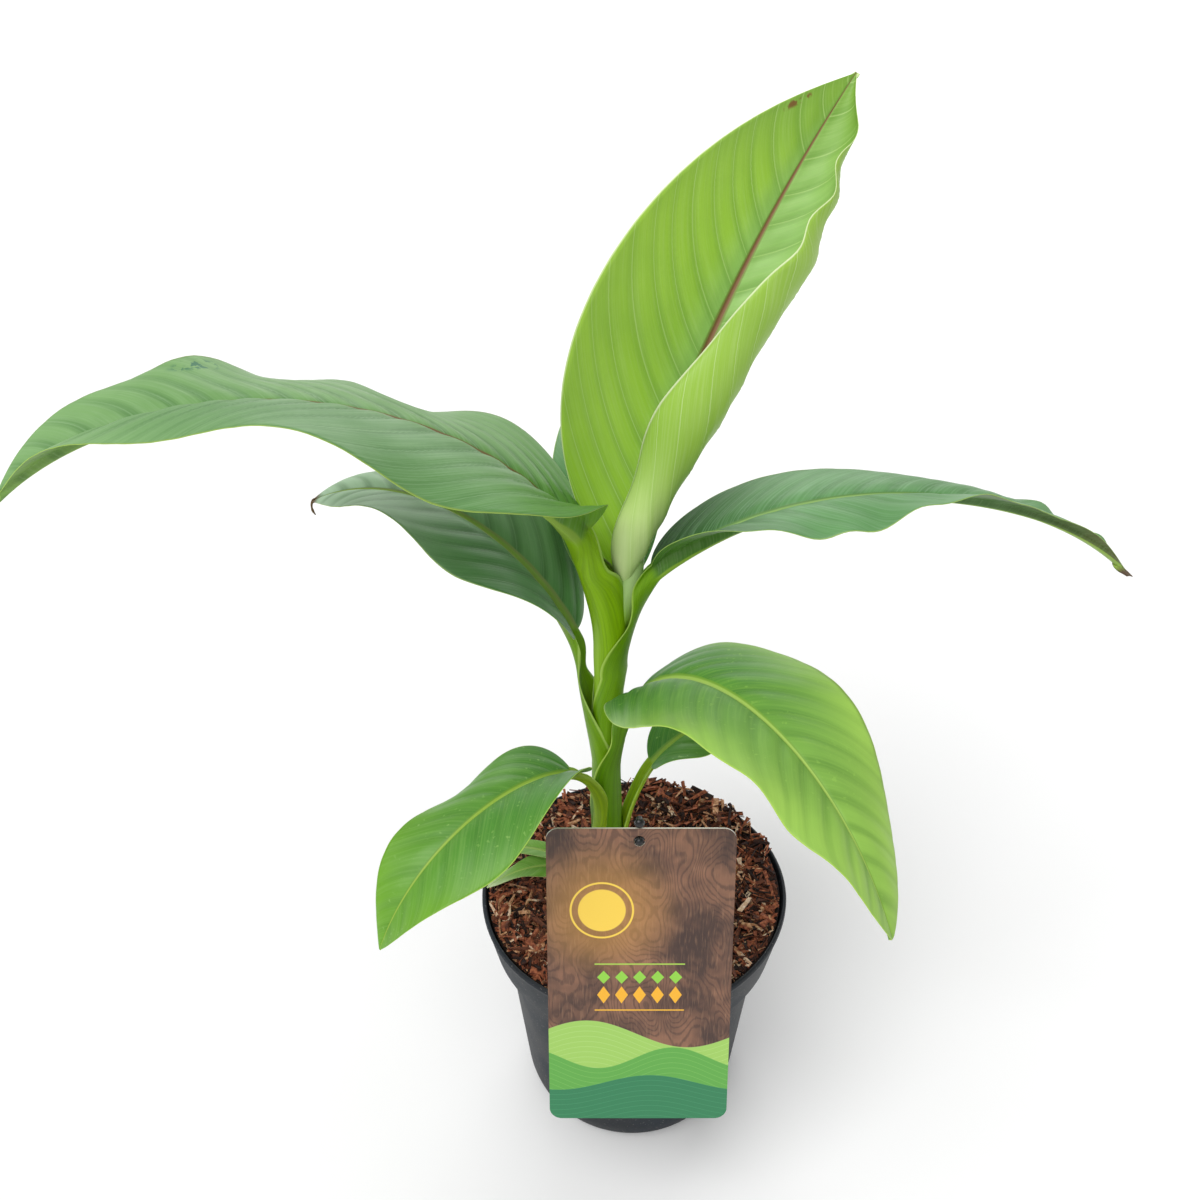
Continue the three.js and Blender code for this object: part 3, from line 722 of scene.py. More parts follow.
def streaks(x, y, fine, stretch):
    """Noise drawn out along y: `fine` wrinkles for each cm across, `stretch` times as long."""
    place = add(x.id_data, "ShaderNodeCombineXYZ", {0: times(x, fine), 1: times(y, fine / stretch)})
    return noise(place.outputs[0], 1.0, 3, 0.6)


def old_mark(place, share, aside, given):
    """A bite or scar: crumbs of noise inside a flat round patch at Mark Share and Mark Aside."""
    across = times(minus(aside, given["Mark Aside"]), 0.3)
    along = minus(share, given["Mark Share"])
    offset = add(place.id_data, "ShaderNodeCombineXYZ", {0: along, 1: across})
    away = add(place.id_data, "ShaderNodeVectorMath", {0: offset.outputs[0]}, operation="LENGTH")
    size = given["Mark Size"]
    inside = ease(away.outputs["Value"], times(size, 0.5), times(size, 0.2))
    return times(inside, ease(noise(place, 240, 2), 0.52, 0.58))


print("veins, streaks and marks are ready")

# %% Shades of the blade, the rib and the stalk
def broad_shades(given, share, aside, to_margin):
    """The blade's two halves, its base, and a tip whose shade reaches further in at the margin."""
    # painted sheen and shade: on some leaves the halves', base's and tip's shades differ partly
    # because a part turns up to the light or away from it
    base = tint(ease(aside, -0.03, 0.3), given["Right"], given["Left"])
    base = tint(ease(share, 0.0, 0.34), given["Base"], base)
    outward = times(given["Edge Reach"], maths("POWER", minus(1.0, to_margin), 3.0))
    late = ease(plus(share, outward), minus(1.0, given["Tip Reach"]), 1.05)
    return tint(late, base, given["Tip"])


def with_rib(base, given, share, reach):
    """The midrib between two darker edges. It narrows to the tip."""
    rib_half = times(given["Rib Width"], minus(1.05, share))
    off_rib = over(maths("ABSOLUTE", reach), rib_half)
    base = tint(ease(off_rib, 1.15, 0.8), base, given["Rib Edge"])
    return tint(ease(off_rib, 0.75, 0.35), base, given["Rib"])


def stalk_shade(given, grain, lengthwise):
    """The stalk's own stripes, fine and broad ones."""
    dim = plus(times(ease(grain, 0.45, 0.7), 0.3), times(ease(lengthwise, 0.35, 0.75), 0.45))
    return tint(dim, given["Stalk"], given["Stalk Deep"])


print("shades of the blade, the rib and the stalk are ready")

# %% A node group for the skin
SHADES = ("Left", "Right", "Base", "Tip", "Deep", "Pale", "Rib", "Rib Edge", "Margin", "Stalk",
          "Stalk Deep")
SKIN_INPUTS = {"Vein Strength": 0.3, "Streak Strength": 0.3, "HollowShade": 0.4, "Rib Width": 0.3,
               "Tip Reach": 0.5, "Edge Reach": 0.1, "Mottle": 0.4, "Specks": 0.0,
               "Mark Share": 0.5, "Mark Aside": 0.5, "Mark Size": 0.0, "Dry Tip": 0.0}


def leaf_skin_group():
    """Blade and stalk of one leaf face: its colour, the height of its relief and its roughness."""
    tree, given, out = new_group(
        "leaf_skin",
        {**{shade: ("colour", None) for shade in SHADES}, "Mark": ("colour", colour("#3f4a22")),
         **{label: ("value", value) for label, value in SKIN_INPUTS.items()}},
        {"Colour": "colour", "Height": "value", "Roughness": "value"})
    maps = [add(tree, "ShaderNodeUVMap", uv_map=name) for name in ("vein", "blade")]
    vein, blade = (add(tree, "ShaderNodeSeparateXYZ", {0: uv.outputs[0]}).outputs for uv in maps)
    place = object_place(tree)
    share, aside = blade[0], blade[1]
    to_margin = minus(1.0, maths("ABSOLUTE", aside))
    on_blade = ease(share, -0.004, 0.02)
    line, hollow_shade = vein_masks(vein[0])
    fine = streaks(vein[0], vein[1], 7.0, 18)
    broad = streaks(vein[0], vein[1], 1.6, 7)
    patch = ease(noise(place, 30, 3), 0.3, 0.7)

    # the blade: mottling, hollows, streaks, veins and specks over its broad shades
    base = broad_shades(given, share, aside, to_margin)
    mottled = times(plus(times(patch, 0.35), times(broad, 0.65)), given["Mottle"])
    base = tint(mottled, base, given["Deep"])
    # painted shade: each vein's hollow is tinted towards Deep, more strongly nearer the midrib
    inward = times(hollow_shade, plus(0.25, times(to_margin, 0.75)))
    base = tint(times(inward, given["HollowShade"]), base, given["Deep"])
    base = tint(times(ease(fine, 0.4, 0.72), given["Streak Strength"]), base, given["Pale"])
    base = tint(times(line, given["Vein Strength"]), base, given["Pale"])
    fleck = times(ease(noise(place, 420, 1), 0.67, 0.73), given["Specks"])
    base = tint(times(fleck, patch), base, given["Pale"])
    base = tint(old_mark(place, share, aside, given), base, given["Mark"])

    # the midrib, the stalk, the margin, and a dried tip
    base = with_rib(base, given, share, vein[1])
    grain = streaks(aside, vein[0], 34, 260)
    base = tint(on_blade, stalk_shade(given, grain, streaks(aside, vein[0], 6, 60)), base)
    rim = ease(to_margin, mix_value(on_blade, 0.12, 0.016), mix_value(on_blade, 0.05, 0.004))
    base = tint(rim, base, given["Margin"])
    dry = times(ease(share, 0.955, 0.985), given["Dry Tip"])

    tree.links.new(tint(dry, base, colour("#5d4526")), out["Colour"])
    height = plus(times(broad, 0.5), times(fine, 0.2))
    tree.links.new(mix_value(on_blade, grain, height), out["Height"])
    tree.links.new(plus(0.4, times(patch, 0.12)), out["Roughness"])
    return tree


leaf_skin = leaf_skin_group()
print("leaf skin:", len(leaf_skin.nodes), "nodes")

# %% [markdown]
# ## Each leaf's colours, with painted sheen and shade
# The newest leaf is yellow-green, and the oldest are darker and bluer with paler or dried tips.
# Some shades also paint light: the two halves' shades and some pale tips stand for a sheen where a
# part turns up to the light and for shade where it turns away, leaf_right's near-black base is
# painted shade, and the crown's light shades paint light shining through the young leaf. Every leaf
# has two finishes from the same group, one for the upper face and a duller one for the underside.
# The rows of shades follow SHADES.

# %% Leaf colours
LEAF_SHADES = {  # the upper face's shades, then the underside's
    # the crown's light shades, and its pale underside base, partly paint light shining through the
    # young leaf
    "leaf_crown": (
        "a8d444 aad47c a8da24 84b03e 709e40 c4e28c 92684c 8a9c50 d6eaa4 96c008 6c9404",
        "9ec64c 9ec64c eaf6bc 8fb93e 8fbc3e d2e8a6 a8c860 a8c860 e2f0bc 96c008 6c9404"),
    "leaf_left": (
        "6a985c 76a35e 5f963a 8fba78 3f7034 9ac08c 8e8250 75603e 8ca850 90be04 648c00",
        "5f8a3c 5f8a3c 6ca01c 7fa84c 44702c 8fb070 8cae3c 8cae3c a6ca5a 90be04 648c00"),
    # leaf_right's near-black Base (103a00) is painted shade on a base turned away from the light
    "leaf_right": (
        "66965f 689c60 103a00 7ca870 2f5c26 90b890 8aac62 5c8444 9cbc60 74a404 4f7c00",
        "4d7a3c 4d7a3c 4f8022 5c5a26 38601f 84a66c 8cb03c 8cb03c a8cc52 74a404 4f7c00"),
    # leaf_back_left's paler Right half and pale Tip (bcdab8) are partly painted sheen
    "leaf_back_left": (
        "528848 70a066 5a9450 bcdab8 2c5624 8cb482 8fae50 84965a 98b86c 76a404 557f00",
        "6a8e58 6a8e58 567c40 97945c 486c3a 93a984 7a9a40 7a9a40 a6c85c 76a404 557f00"),
    "leaf_front_right": (
        "528e3c 609c3a 347423 a8d45c 356c22 92c052 a4c45c 78a23a b4d65c 639600 325400",
        "5d8a3c 5d8a3c 4f7c36 86b040 42702c 8fb46c 93b048 93b048 b4d65c 639600 325400"),
    "leaf_front_left": (
        "549138 62993c 42802c 74ac2c 346a20 8ab85c 98b848 6f9a38 a4cc58 92b40c 5c8008",
        "5a8840 5a8840 4f7c38 7aa838 3f6c28 8fb46c 8cab48 8cab48 b0d050 92b40c 5c8008"),
    "leaf_young_left": (
        "6a9c36 78ac44 5c8f28 d4dfb8 4f8228 a0c46c 9cbc5c 8fae58 c4dc8c 86a83c 6c9030",
        "6a9c36 78ac44 5c8f28 d4dfb8 4f8228 a0c46c 9cbc5c 8fae58 c4dc8c 86a83c 6c9030"),
}
SKIN_VALUES = {  # what differs from leaf to leaf in the skin's other inputs
    "leaf_crown": dict(Rib_Width=0.42, Vein_Strength=0.45, Streak_Strength=0.16, HollowShade=0.5,
                       Mottle=0.5, Tip_Reach=0.3, Mark=colour("#7f5e2e"), Mark_Share=0.905,
                       Mark_Aside=0.84, Mark_Size=0.07),
    "leaf_left": dict(Rib_Width=0.36, Vein_Strength=0.3, Streak_Strength=0.3, HollowShade=0.65,
                      Mark=colour("#37724f"), Mark_Share=0.655, Mark_Aside=-0.8, Mark_Size=0.09),
    "leaf_right": dict(Rib_Width=0.24, Vein_Strength=0.12, HollowShade=0.35, Dry_Tip=1.0),
    "leaf_back_left": dict(Rib_Width=0.4, Vein_Strength=0.25, Streak_Strength=0.2, HollowShade=0.52,
                           Tip_Reach=0.7, Dry_Tip=1.0),
    "leaf_front_right": dict(Rib_Width=0.3, Vein_Strength=0.12, HollowShade=0.35, Tip_Reach=0.75,
                             Edge_Reach=0.5, Specks=0.5),
    "leaf_front_left": dict(Rib_Width=0.26, Vein_Strength=0.12, HollowShade=0.3, Tip_Reach=0.6,
                            Edge_Reach=0.3, Specks=0.8),
    "leaf_young_left": dict(Rib_Width=0.16, Tip_Reach=0.35, HollowShade=0.2),
}
SAME_SHADES = {"leaf_low_right": "leaf_front_left", "leaf_back": "leaf_back_left",
               "leaf_young_front": "leaf_young_left"}
print(len(LEAF_SHADES), "sets of leaf colours")

# %% Leaf finishes
def leaf_finish(name, row, bump, **values):
    """A leaf's skin in one row of shades."""
    shades = {label: "#" + shade for label, shade in zip(SHADES, row.split())}
    return grouped_finish(name, leaf_skin, shades, bump, 0.0008, 0.3, **values)


leaf_finishes = {}
for leaf_name, (face, under) in LEAF_SHADES.items():
    values = SKIN_VALUES[leaf_name]
    leaf_finishes[leaf_name] = [
        leaf_finish(leaf_name + "_face", face, 0.3, **values),
        leaf_finish(leaf_name + "_under", under, 0.45, **{**values, "Specks": 0.0})]
for leaf_name, other in SAME_SHADES.items():
    leaf_finishes[leaf_name] = leaf_finishes[other]
print(len(LEAF_SHADES) * 2, "leaf finishes")

# %% Grow the leaves
for leaf_name, leaf in LEAVES.items():
    new_growth = leaf_name in ("leaf_crown", "leaf_young_left", "leaf_young_front")
    leaf_piece(leaf_name, leaf, leaf_finishes[leaf_name], "leaf_new" if new_growth else "leaf")

# %% [markdown]
# ## A dried drip tip
# The long tip of an older leaf dries first and hangs down as a brown thread. It could be a curve
# with a bevel, but a thin tube on a short path, which starts in the blade's tip, is a mesh from
# the start.

# %% Drip tip
def thread(start, path, radii, columns=8):
    """A tube: rings of the given radii round the points start + path, in the plane across the
    path, with both ends closed."""
    points = start + np.array(path, float)
    ahead = np.gradient(points, axis=0)
    ahead = ahead / np.linalg.norm(ahead, axis=1, keepdims=True)
    sideways = np.cross(ahead, [0.0, 1.0, 0.0])
    sideways = sideways / np.linalg.norm(sideways, axis=1, keepdims=True)
    turn = np.linspace(0, 2 * np.pi, columns, endpoint=False)[None, :, None]
    ring = sideways[:, None] * np.cos(turn) + np.cross(ahead, sideways)[:, None] * np.sin(turn)
    body = (points[:, None] + ring * np.array(radii)[:, None, None]).reshape(-1, 3)
    return np.concatenate([body, points[:1], points[-1:]]), closed_tube(len(points), columns)


def dried_finish():
    """Crumpled brown."""
    finish, tree, shader = new_finish("dried_tip", Roughness=0.8)
    crumple = noise(object_place(tree), 900, 3)
    tree.links.new(tint(crumple, colour("#3d2b18"), colour("#7a5f3a")), shader.inputs["Base Color"])
    return finish


old = LEAVES["leaf_back_left"]
old_tip = midline(old, np.array([old["petiole"] + 0.985 * old["blade"]]))[0]
t = np.linspace(0, 1, 14)
hang = np.stack([-2.6 * np.sin(2.2 * t) + 1.6 * t ** 3, 0.6 * np.sin(5 * t), -9.5 * t ** 1.4], -1)
tip_radii = 0.9 - 0.55 * t + 0.35 * np.exp(-((t - 0.8) / 0.1) ** 2)
make_piece("dried_drip_tip", *thread(old_tip, hang, tip_radii), [dried_finish()], slot="leaf")

# %% [markdown]
# ## The stem's core
# Inside the sheaths stands the tightly rolled middle of the plant. Little of it shows, so a
# plain tube on the same outline fills the stem. Its pale top leans to the right and closes the
# fork between the two highest petioles.

# %% Core of the stem
CORE_FORK, CORE_TOP, CORE_LEAN = 362.0, 420.0, 0.24


def stem_core(rows=90, columns=40):
    """A ring of the stem's own radius, less the sheaths' layers, carried up its axis and, in the
    fork, along a line that leans sideways. It closes to a point at CORE_TOP."""
    z = np.linspace(SOIL_LEVEL - 3, CORE_TOP - 1, rows)
    radius = sheath_radius("leaf_crown", z) - 1.4 * SHEATH_THICK
    radius = radius * np.sqrt(np.clip((CORE_TOP - z) / 34, 0, 1))
    turn = np.linspace(0, 2 * np.pi, columns, endpoint=False)
    ring = np.stack([np.cos(turn), np.sin(turn), 0 * turn], -1)
    lean = np.maximum(z - CORE_FORK, 0) * CORE_LEAN
    axis = stem_axis(z) + np.stack([lean, 0.3 * lean, 0 * z], -1)
    points = axis[:, None] + ring * radius[:, None, None]
    ends = [points[0].mean(0)[None], points[-1].mean(0)[None]]
    return np.concatenate([points.reshape(-1, 3), *ends]), closed_tube(rows, columns)


def core_stripes():
    """Fine lengthwise stripes, from noise that hardly changes with height, and a paler top."""
    finish, tree, shader = new_finish("stem_core", Roughness=0.45, Specular_IOR_Level=0.3)
    place = object_place(tree)
    stripes = noise(stretched(place, (900, 900, 14)), 1.0, 3)
    height = add(tree, "ShaderNodeSeparateXYZ", {0: place}).outputs[2]
    green = tint(ease(stripes, 0.35, 0.7), colour("#8fbc0a"), colour("#5f8a06"))
    shade = tint(ease(height, 0.37, 0.4), green, colour("#b4d48a"))
    tree.links.new(shade, shader.inputs["Base Color"])
    relief = add(tree, "ShaderNodeBump", {"Height": stripes, "Strength": 0.2, "Distance": 0.0005})
    tree.links.new(relief.outputs[0], shader.inputs["Normal"])
    return finish


make_piece("stem_core", *stem_core(), [core_stripes()], node="stem", slot="stem")

# %% [markdown]
# ## The pot
# A thin black nursery pot is blow moulded: a deep collar, a step under it and a wall that narrows
# to the foot. A Screw modifier on a curve could turn it, but here its profile is turned about the
# middle as an array, with small arcs where the plastic bends. So thin a wall is never quite round,
# so its radius swells and dips a little on the way round.

# %% Pot profile
POT = dict(rim=95.0, height=168.0, wall=1.6, floor=2.0, collar=89.2, collar_foot=136.5,
           shoulder=81.3, shoulder_drop=1.5, foot=69.8, foot_height=15.0, base=60.3, lip=2.4,
           lip_round=0.8)


def rounded_profile(corners, cut, steps=4):
    """A polyline with each corner replaced by a short quadratic curve that starts and ends `cut`
    mm away from it, or nearly half way along a shorter edge."""
    corners, cut = np.array(corners, float), np.array(cut, float)[:, None]
    here = corners[1:-1]
    t = np.linspace(0, 1, steps)[None, :, None]
    ends = []
    for edge in (corners[:-2] - here, corners[2:] - here):
        length = np.linalg.norm(edge, axis=1, keepdims=True)
        ends.append((here + edge / length * np.minimum(cut, 0.45 * length))[:, None])
    bends = (1 - t) ** 2 * ends[0] + 2 * t * (1 - t) * here[:, None] + t ** 2 * ends[1]
    return np.concatenate([corners[:1], bends.reshape(-1, 2), corners[-1:]])


def pot_profile():
    """Outline of the wall from the middle of the base, up the outside, over the lip and down the
    inside, as (radius, height)."""
    p = POT
    lip, lip_round, wall = p["lip"], p["lip_round"], p["wall"]
    drop = p["collar_foot"] - p["shoulder_drop"]
    corners = [
        (0.01, 0), (p["base"], 0), (p["foot"] - 3, p["foot_height"] / 3),
        (p["foot"], p["foot_height"]), (p["shoulder"], drop), (p["collar"], p["collar_foot"]),
        (p["rim"] - lip_round, p["height"] - 2 * lip), (p["rim"], p["height"] - lip),
        (p["rim"] - lip_round, p["height"]), (p["rim"] - wall - lip_round, p["height"]),
        (p["rim"] - wall - 2 * lip_round, p["height"] - 2 * lip),
        (p["collar"] - wall, p["collar_foot"] + wall), (p["shoulder"] - wall, drop),
        (p["foot"] - wall, p["foot_height"]), (p["foot"] - wall - 3, p["foot_height"] / 3),
        (p["base"] - wall, p["floor"]), (0.01, p["floor"])]
    cuts = [1.2, 3, 4, 1.2, 1.2, 1.5, 0.8, 0.8, 0.8, 1.5, 1.2, 1.2, 4, 3, 1.2]
    return rounded_profile(corners, cuts)


print("pot outline:", len(pot_profile()), "points")

# %% Turned bodies
POT_SEGMENTS = 128


def turned(profile, segments, dents=0.0):
    """A profile (radius, height) turned about Z: x = r cos a, y = r sin a. The two ends lie on
    the axis and close as fans. `dents` is how many mm two slow waves take off r near the top."""
    turn = np.linspace(0, 2 * np.pi, segments, endpoint=False)
    body = profile[1:-1]
    uneven = np.sin(2 * turn + 0.9) + 0.7 * np.sin(5 * turn + body[:, 1:] / 23.0) - 1.2
    radius = body[:, :1] + dents * uneven * smooth(body[:, 1:] / 60) * (body[:, :1] > 50)
    points = np.stack([radius * np.cos(turn), radius * np.sin(turn),
                       np.repeat(body[:, 1:], segments, 1)], -1).reshape(-1, 3)
    ends = np.array([[0, 0, profile[0, 1]], [0, 0, profile[-1, 1]]])
    return np.concatenate([points, ends]), closed_tube(len(body), segments)


print("pot wall:", len(turned(pot_profile(), POT_SEGMENTS)[0]), "points")

# %% [markdown]
# ## Scuffed plastic
# The pot and the stake are both moulded plastic. Handling leaves cloudy, duller patches and a
# little pale dust on it. A flat black would look like a hole, so one group makes both from noise,
# and each material gives it its own colours. A fine matt grain goes into the bump.

# %% Plastic
def worn_plastic_group():
    """Cloudy patches between two colours, dust specks, and a grain's height and roughness."""
    tree, given, out = new_group(
        "worn_plastic",
        {"Clean": ("colour", None), "Worn": ("colour", None), "Dust": ("colour", None),
         "Patch Scale": ("value", 18.0), "Dust Amount": ("value", 0.2), "Matt": ("value", 0.5)},
        {"Colour": "colour", "Height": "value", "Roughness": "value"})
    place = object_place(tree)
    patch = ease(noise(place, given["Patch Scale"], 6, 0.62), 0.38, 0.7)
    grain = noise(place, 1400, 2)
    dusty = times(ease(noise(place, 620, 1), 0.66, 0.74), given["Dust Amount"])
    shade = tint(dusty, tint(patch, given["Clean"], given["Worn"]), given["Dust"])
    tree.links.new(shade, out["Colour"])
    tree.links.new(grain, out["Height"])
    rough = plus(given["Matt"], times(patch, 0.18))
    tree.links.new(plus(rough, times(grain, 0.08)), out["Roughness"])
    return tree


worn_plastic = worn_plastic_group()


def plastic_finish(name, clean, worn, shine, **values):
    """Moulded plastic. Other names are the group's inputs."""
    shades = {"Clean": clean, "Worn": worn, "Dust": "#b9b4ac"}
    return grouped_finish(name, worn_plastic, shades, 0.25, 0.0002, shine, **values)


print("worn plastic:", len(worn_plastic.nodes), "nodes")

# %% [markdown]
# ## Drain holes
# Water leaves through round holes in the pot's floor. The profile's rings can't hold them without
# another grid, so a Boolean takes short cylinders out of the finished wall.

# %% The pot's shell and its drain holes
DRAIN_HOLES, DRAIN_RADIUS, DRAIN_CIRCLE = 8, 5.0, 46.0


def drain_cutter(steps=20):
    """One mesh of short upright cylinders, one for each drain hole: a ring of angles twice over,
    moved to each hole's place."""
    turn = np.linspace(0, 2 * np.pi, steps, endpoint=False)
    ring = np.stack([DRAIN_RADIUS * np.cos(turn), DRAIN_RADIUS * np.sin(turn), 0 * turn], -1)
    tube = np.concatenate([ring - [0, 0, 4], ring + [0, 0, 8], [[0, 0, -4], [0, 0, 8]]])
    around = np.arange(DRAIN_HOLES) * 2 * np.pi / DRAIN_HOLES
    places = DRAIN_CIRCLE * np.stack([np.cos(around), np.sin(around), 0 * around], -1)
    points = (tube[None] + places[:, None]).reshape(-1, 3)
    offsets = np.arange(DRAIN_HOLES)[:, None, None] * len(tube)
    faces = [(part[None] + offsets).reshape(-1, part.shape[1]) for part in closed_tube(2, steps)]
    mesh = bpy.data.meshes.new("drain_cutter")
    mesh.from_pydata((points * MM).tolist(), [], [face for part in face_outwards(points, faces)
                                                  for face in part.tolist()])
    return bpy.data.objects.new("drain_cutter", mesh)


def cut_away(piece, cutter):
    """Takes the cutter out of the piece with a Boolean modifier, keeps the result as the piece's
    mesh, and removes the cutter."""
    bpy.context.collection.objects.link(cutter)
    cut = piece.modifiers.new("cut", "BOOLEAN")
    cut.object, cut.operation, cut.solver = cutter, "DIFFERENCE", "EXACT"
    seen = piece.evaluated_get(bpy.context.evaluated_depsgraph_get())
    mesh = bpy.data.meshes.new_from_object(seen)
    piece.modifiers.clear()
    piece.data = mesh
    bpy.data.objects.remove(cutter)


pot_finish = plastic_finish("pot_plastic", "#12181e", "#212a33", 0.35, Dust_Amount=0.16)
pot_points, pot_faces = turned(pot_profile(), POT_SEGMENTS, dents=0.5)
pot = make_piece("pot_shell", pot_points, pot_faces, [pot_finish], node="pot", slot="pot")
cut_away(pot, drain_cutter())
print("pot with", DRAIN_HOLES, "drain holes:", len(pot.data.polygons), "faces")

# %% [markdown]
# ## Soil and bark chips
# The mix is composted bark: dark crumbs under a loose layer of reddish chips and fibres. The
# bed is a low uneven mound, near black, which also paints the shade in the gaps between the
# chips. On it lie thousands of small wedges of six quads each, joined into one piece, since a chip
# as an object of its own would only slow everything down.

# %% Bed of the soil
SOIL_RADIUS = 90.6
BED_FLOOR = 145.0


def soil_height(x, y):
    """Height of the bed: 162 mm, more against the wall, most of all at the back and the
    right where the mix is heaped up to the rim, and a few low waves."""
    r = np.hypot(x, y) / SOIL_RADIUS
    heaped = 0.5 + 0.5 * np.cos(np.arctan2(y, x) - np.radians(60))
    waves = np.sin(x / 9.0) * np.cos(y / 11.0) + 0.6 * np.sin(x / 4.1 + y / 5.3)
    return 161.8 + (1.6 + 4.4 * heaped) * r ** 5 + 0.7 * waves * (1 - r ** 6)


def soil_bed(rings=48, segments=96):
    """Rings of a disc whose height follows soil_height, then a skirt down to a flat underside."""
    r = np.linspace(0.02, 1, rings)[:, None] * SOIL_RADIUS
    turn = np.linspace(0, 2 * np.pi, segments, endpoint=False)[None, :]
    x, y = r * np.cos(turn), r * np.sin(turn)
    top = np.stack([x, y, soil_height(x, y)], -1)
    skirt = np.stack([0.975 * x[-1:], 0.975 * y[-1:], np.full_like(x[-1:], BED_FLOOR)], -1)
    ends = np.array([[0, 0, soil_height(0.0, 0.0)], [0, 0, BED_FLOOR]])
    return np.concatenate([top.reshape(-1, 3), skirt[0], ends]), closed_tube(rings + 1, segments)


print("bed in the middle and at the back:", soil_height(0, 0).round(1), soil_height(0, 90).round(1))

# %% Bark's grain
def bark_group():
    """Mottled bark: noise between a dark and a light shade, and its height as crumbs."""
    tree, given, out = new_group(
        "bark_grain",
        {"Dark": ("colour", None), "Light": ("colour", None), "Scale": ("value", 300.0)},
        {"Colour": "colour", "Height": "value", "Roughness": "value"})
    crumb = noise(object_place(tree), given["Scale"], 4, 0.65)
    tree.links.new(tint(ease(crumb, 0.35, 0.68), given["Dark"], given["Light"]), out["Colour"])
    tree.links.new(crumb, out["Height"])
    tree.links.new(plus(0.5, times(crumb, 0.5)), out["Roughness"])
    return tree


bark_grain = bark_group()


def bark_finish(name, dark, light, scale, bump):
    """Bark or crumbs between two shades."""
    shades = {"Dark": dark, "Light": light}
    return grouped_finish(name, bark_grain, shades, bump, 0.001, 0.35, Scale=scale)


# the bed's near-black shades are dark crumbs and also painted shade in the gaps between the chips
soil_and_gap_shade_finish = bark_finish("soil_crumb_and_gap_shade", "#0e0604", "#2c160f", 260, 0.8)
make_piece("soil_bed", *soil_bed(), [soil_and_gap_shade_finish], node="soil", slot="soil")

# %% Chips and where they lie
rng = np.random.default_rng(11)


def turned_by(body, yaw, pitch, roll):
    """Turns each group of points about X by roll, about Y by pitch, then about Z by yaw."""
    for angle, (i, j) in ((roll, (1, 2)), (pitch, (2, 0)), (yaw, (0, 1))):
        c, s = np.cos(angle)[:, None], np.sin(angle)[:, None]
        a, b = body[..., i].copy(), body[..., j].copy()
        body[..., i], body[..., j] = a * c - b * s, a * s + b * c
    return body


def chip_body(count, long, wide):
    """`count` wedges as (count, 8, 3): a long box whose far end is narrower, thinner and lifted,
    turned by three random angles. A longer one lies flatter."""
    deep = wide * rng.uniform(0.3, 0.75, count)
    corner = np.array([[x, y, z] for x in (-1, 1) for y in (-1, 1) for z in (-1, 1)], float)
    body = corner[None] * np.stack([long, wide, deep], -1)[:, None] / 2
    far = (corner[:, 0] > 0)[None, :, None]
    taper = np.stack([np.ones(count), rng.uniform(0.25, 1, count), rng.uniform(0.3, 1, count)], -1)
    body = np.where(far, body * taper[:, None], body)
    body = body + rng.normal(0, 0.18, (count, 8, 3)) * wide[:, None, None]
    yaw, roll = rng.uniform(0, 2 * np.pi, count), rng.normal(0, 0.9, count)
    pitch = rng.normal(0, 1, count) * np.clip(2.6 / long, 0.08, 0.7)
    return turned_by(body, yaw, pitch, roll)


WALL_GAP, STEM_GAP = 1.6, 17  # mm that a chip's middle keeps from the wall and the stem's middle


def scatter(count):
    """Places spread evenly over the bed, clear of the wall and the stem."""
    r = np.sqrt(rng.uniform(0, 1, count)) * (SOIL_RADIUS - WALL_GAP)
    turn = rng.uniform(0, 2 * np.pi, count)
    x, y = r * np.cos(turn), r * np.sin(turn)
    centre = STEM_X + 2
    off = np.hypot(x - centre, y)
    push = np.where(off < STEM_GAP, STEM_GAP / np.maximum(off, 1), 1)
    x, y = centre + (x - centre) * push, y * push
    return np.stack([x, y, soil_height(x, y)], -1)


print("chips are spread over a disc of", SOIL_RADIUS, "mm radius")

# %% Sizes and places
CHIP_TONES = {"black": ("#160a07", "#3a1d14", 0.29), "brown": ("#472417", "#7d4730", 0.28),
              "red": ("#743a25", "#b56c4a", 0.27), "tan": ("#a06a46", "#e2b38c", 0.12),
              "pale": ("#d0a684", "#f2dcc4", 0.04)}
CHIPS, FIBRES, RIM_CHIPS = 6600, 300, 110
BOX_FACES = np.array([[0, 1, 3, 2], [4, 6, 7, 5], [0, 4, 5, 1], [2, 3, 7, 6], [0, 2, 6, 4],
                      [1, 5, 7, 3]])

chip_finishes = [bark_finish("bark_" + tone, dark, light, 420, 0.5)
                 for tone, (dark, light, _) in CHIP_TONES.items()]
chip_long = rng.gamma(3.2, 2.1, CHIPS) + 2.2
chip_wide = rng.uniform(0.55, 2.2, CHIPS) * np.clip(chip_long / 7, 0.6, 1.5)
chip_long = np.concatenate([chip_long, rng.uniform(9, 24, FIBRES)])
chip_wide = np.concatenate([chip_wide, rng.uniform(0.22, 0.45, FIBRES)])
places = scatter(CHIPS + FIBRES)
# some lie on the rim itself, where the mix is heaped up to it
rim_turn = np.radians(rng.normal(68, 27, RIM_CHIPS))
rim_reach = rng.uniform(SOIL_RADIUS - 1, POT["rim"] - 0.6, RIM_CHIPS)
places[:RIM_CHIPS] = np.stack([rim_reach * np.cos(rim_turn), rim_reach * np.sin(rim_turn),
                               np.full(RIM_CHIPS, POT["height"] + 0.5)], -1)
chips = chip_body(CHIPS + FIBRES, chip_long, chip_wide) + places[:, None]
chips[..., 2] += rng.uniform(0.0, 3.2, (CHIPS + FIBRES, 1))
print("the longest is", chip_long.max().round(1), "mm long")

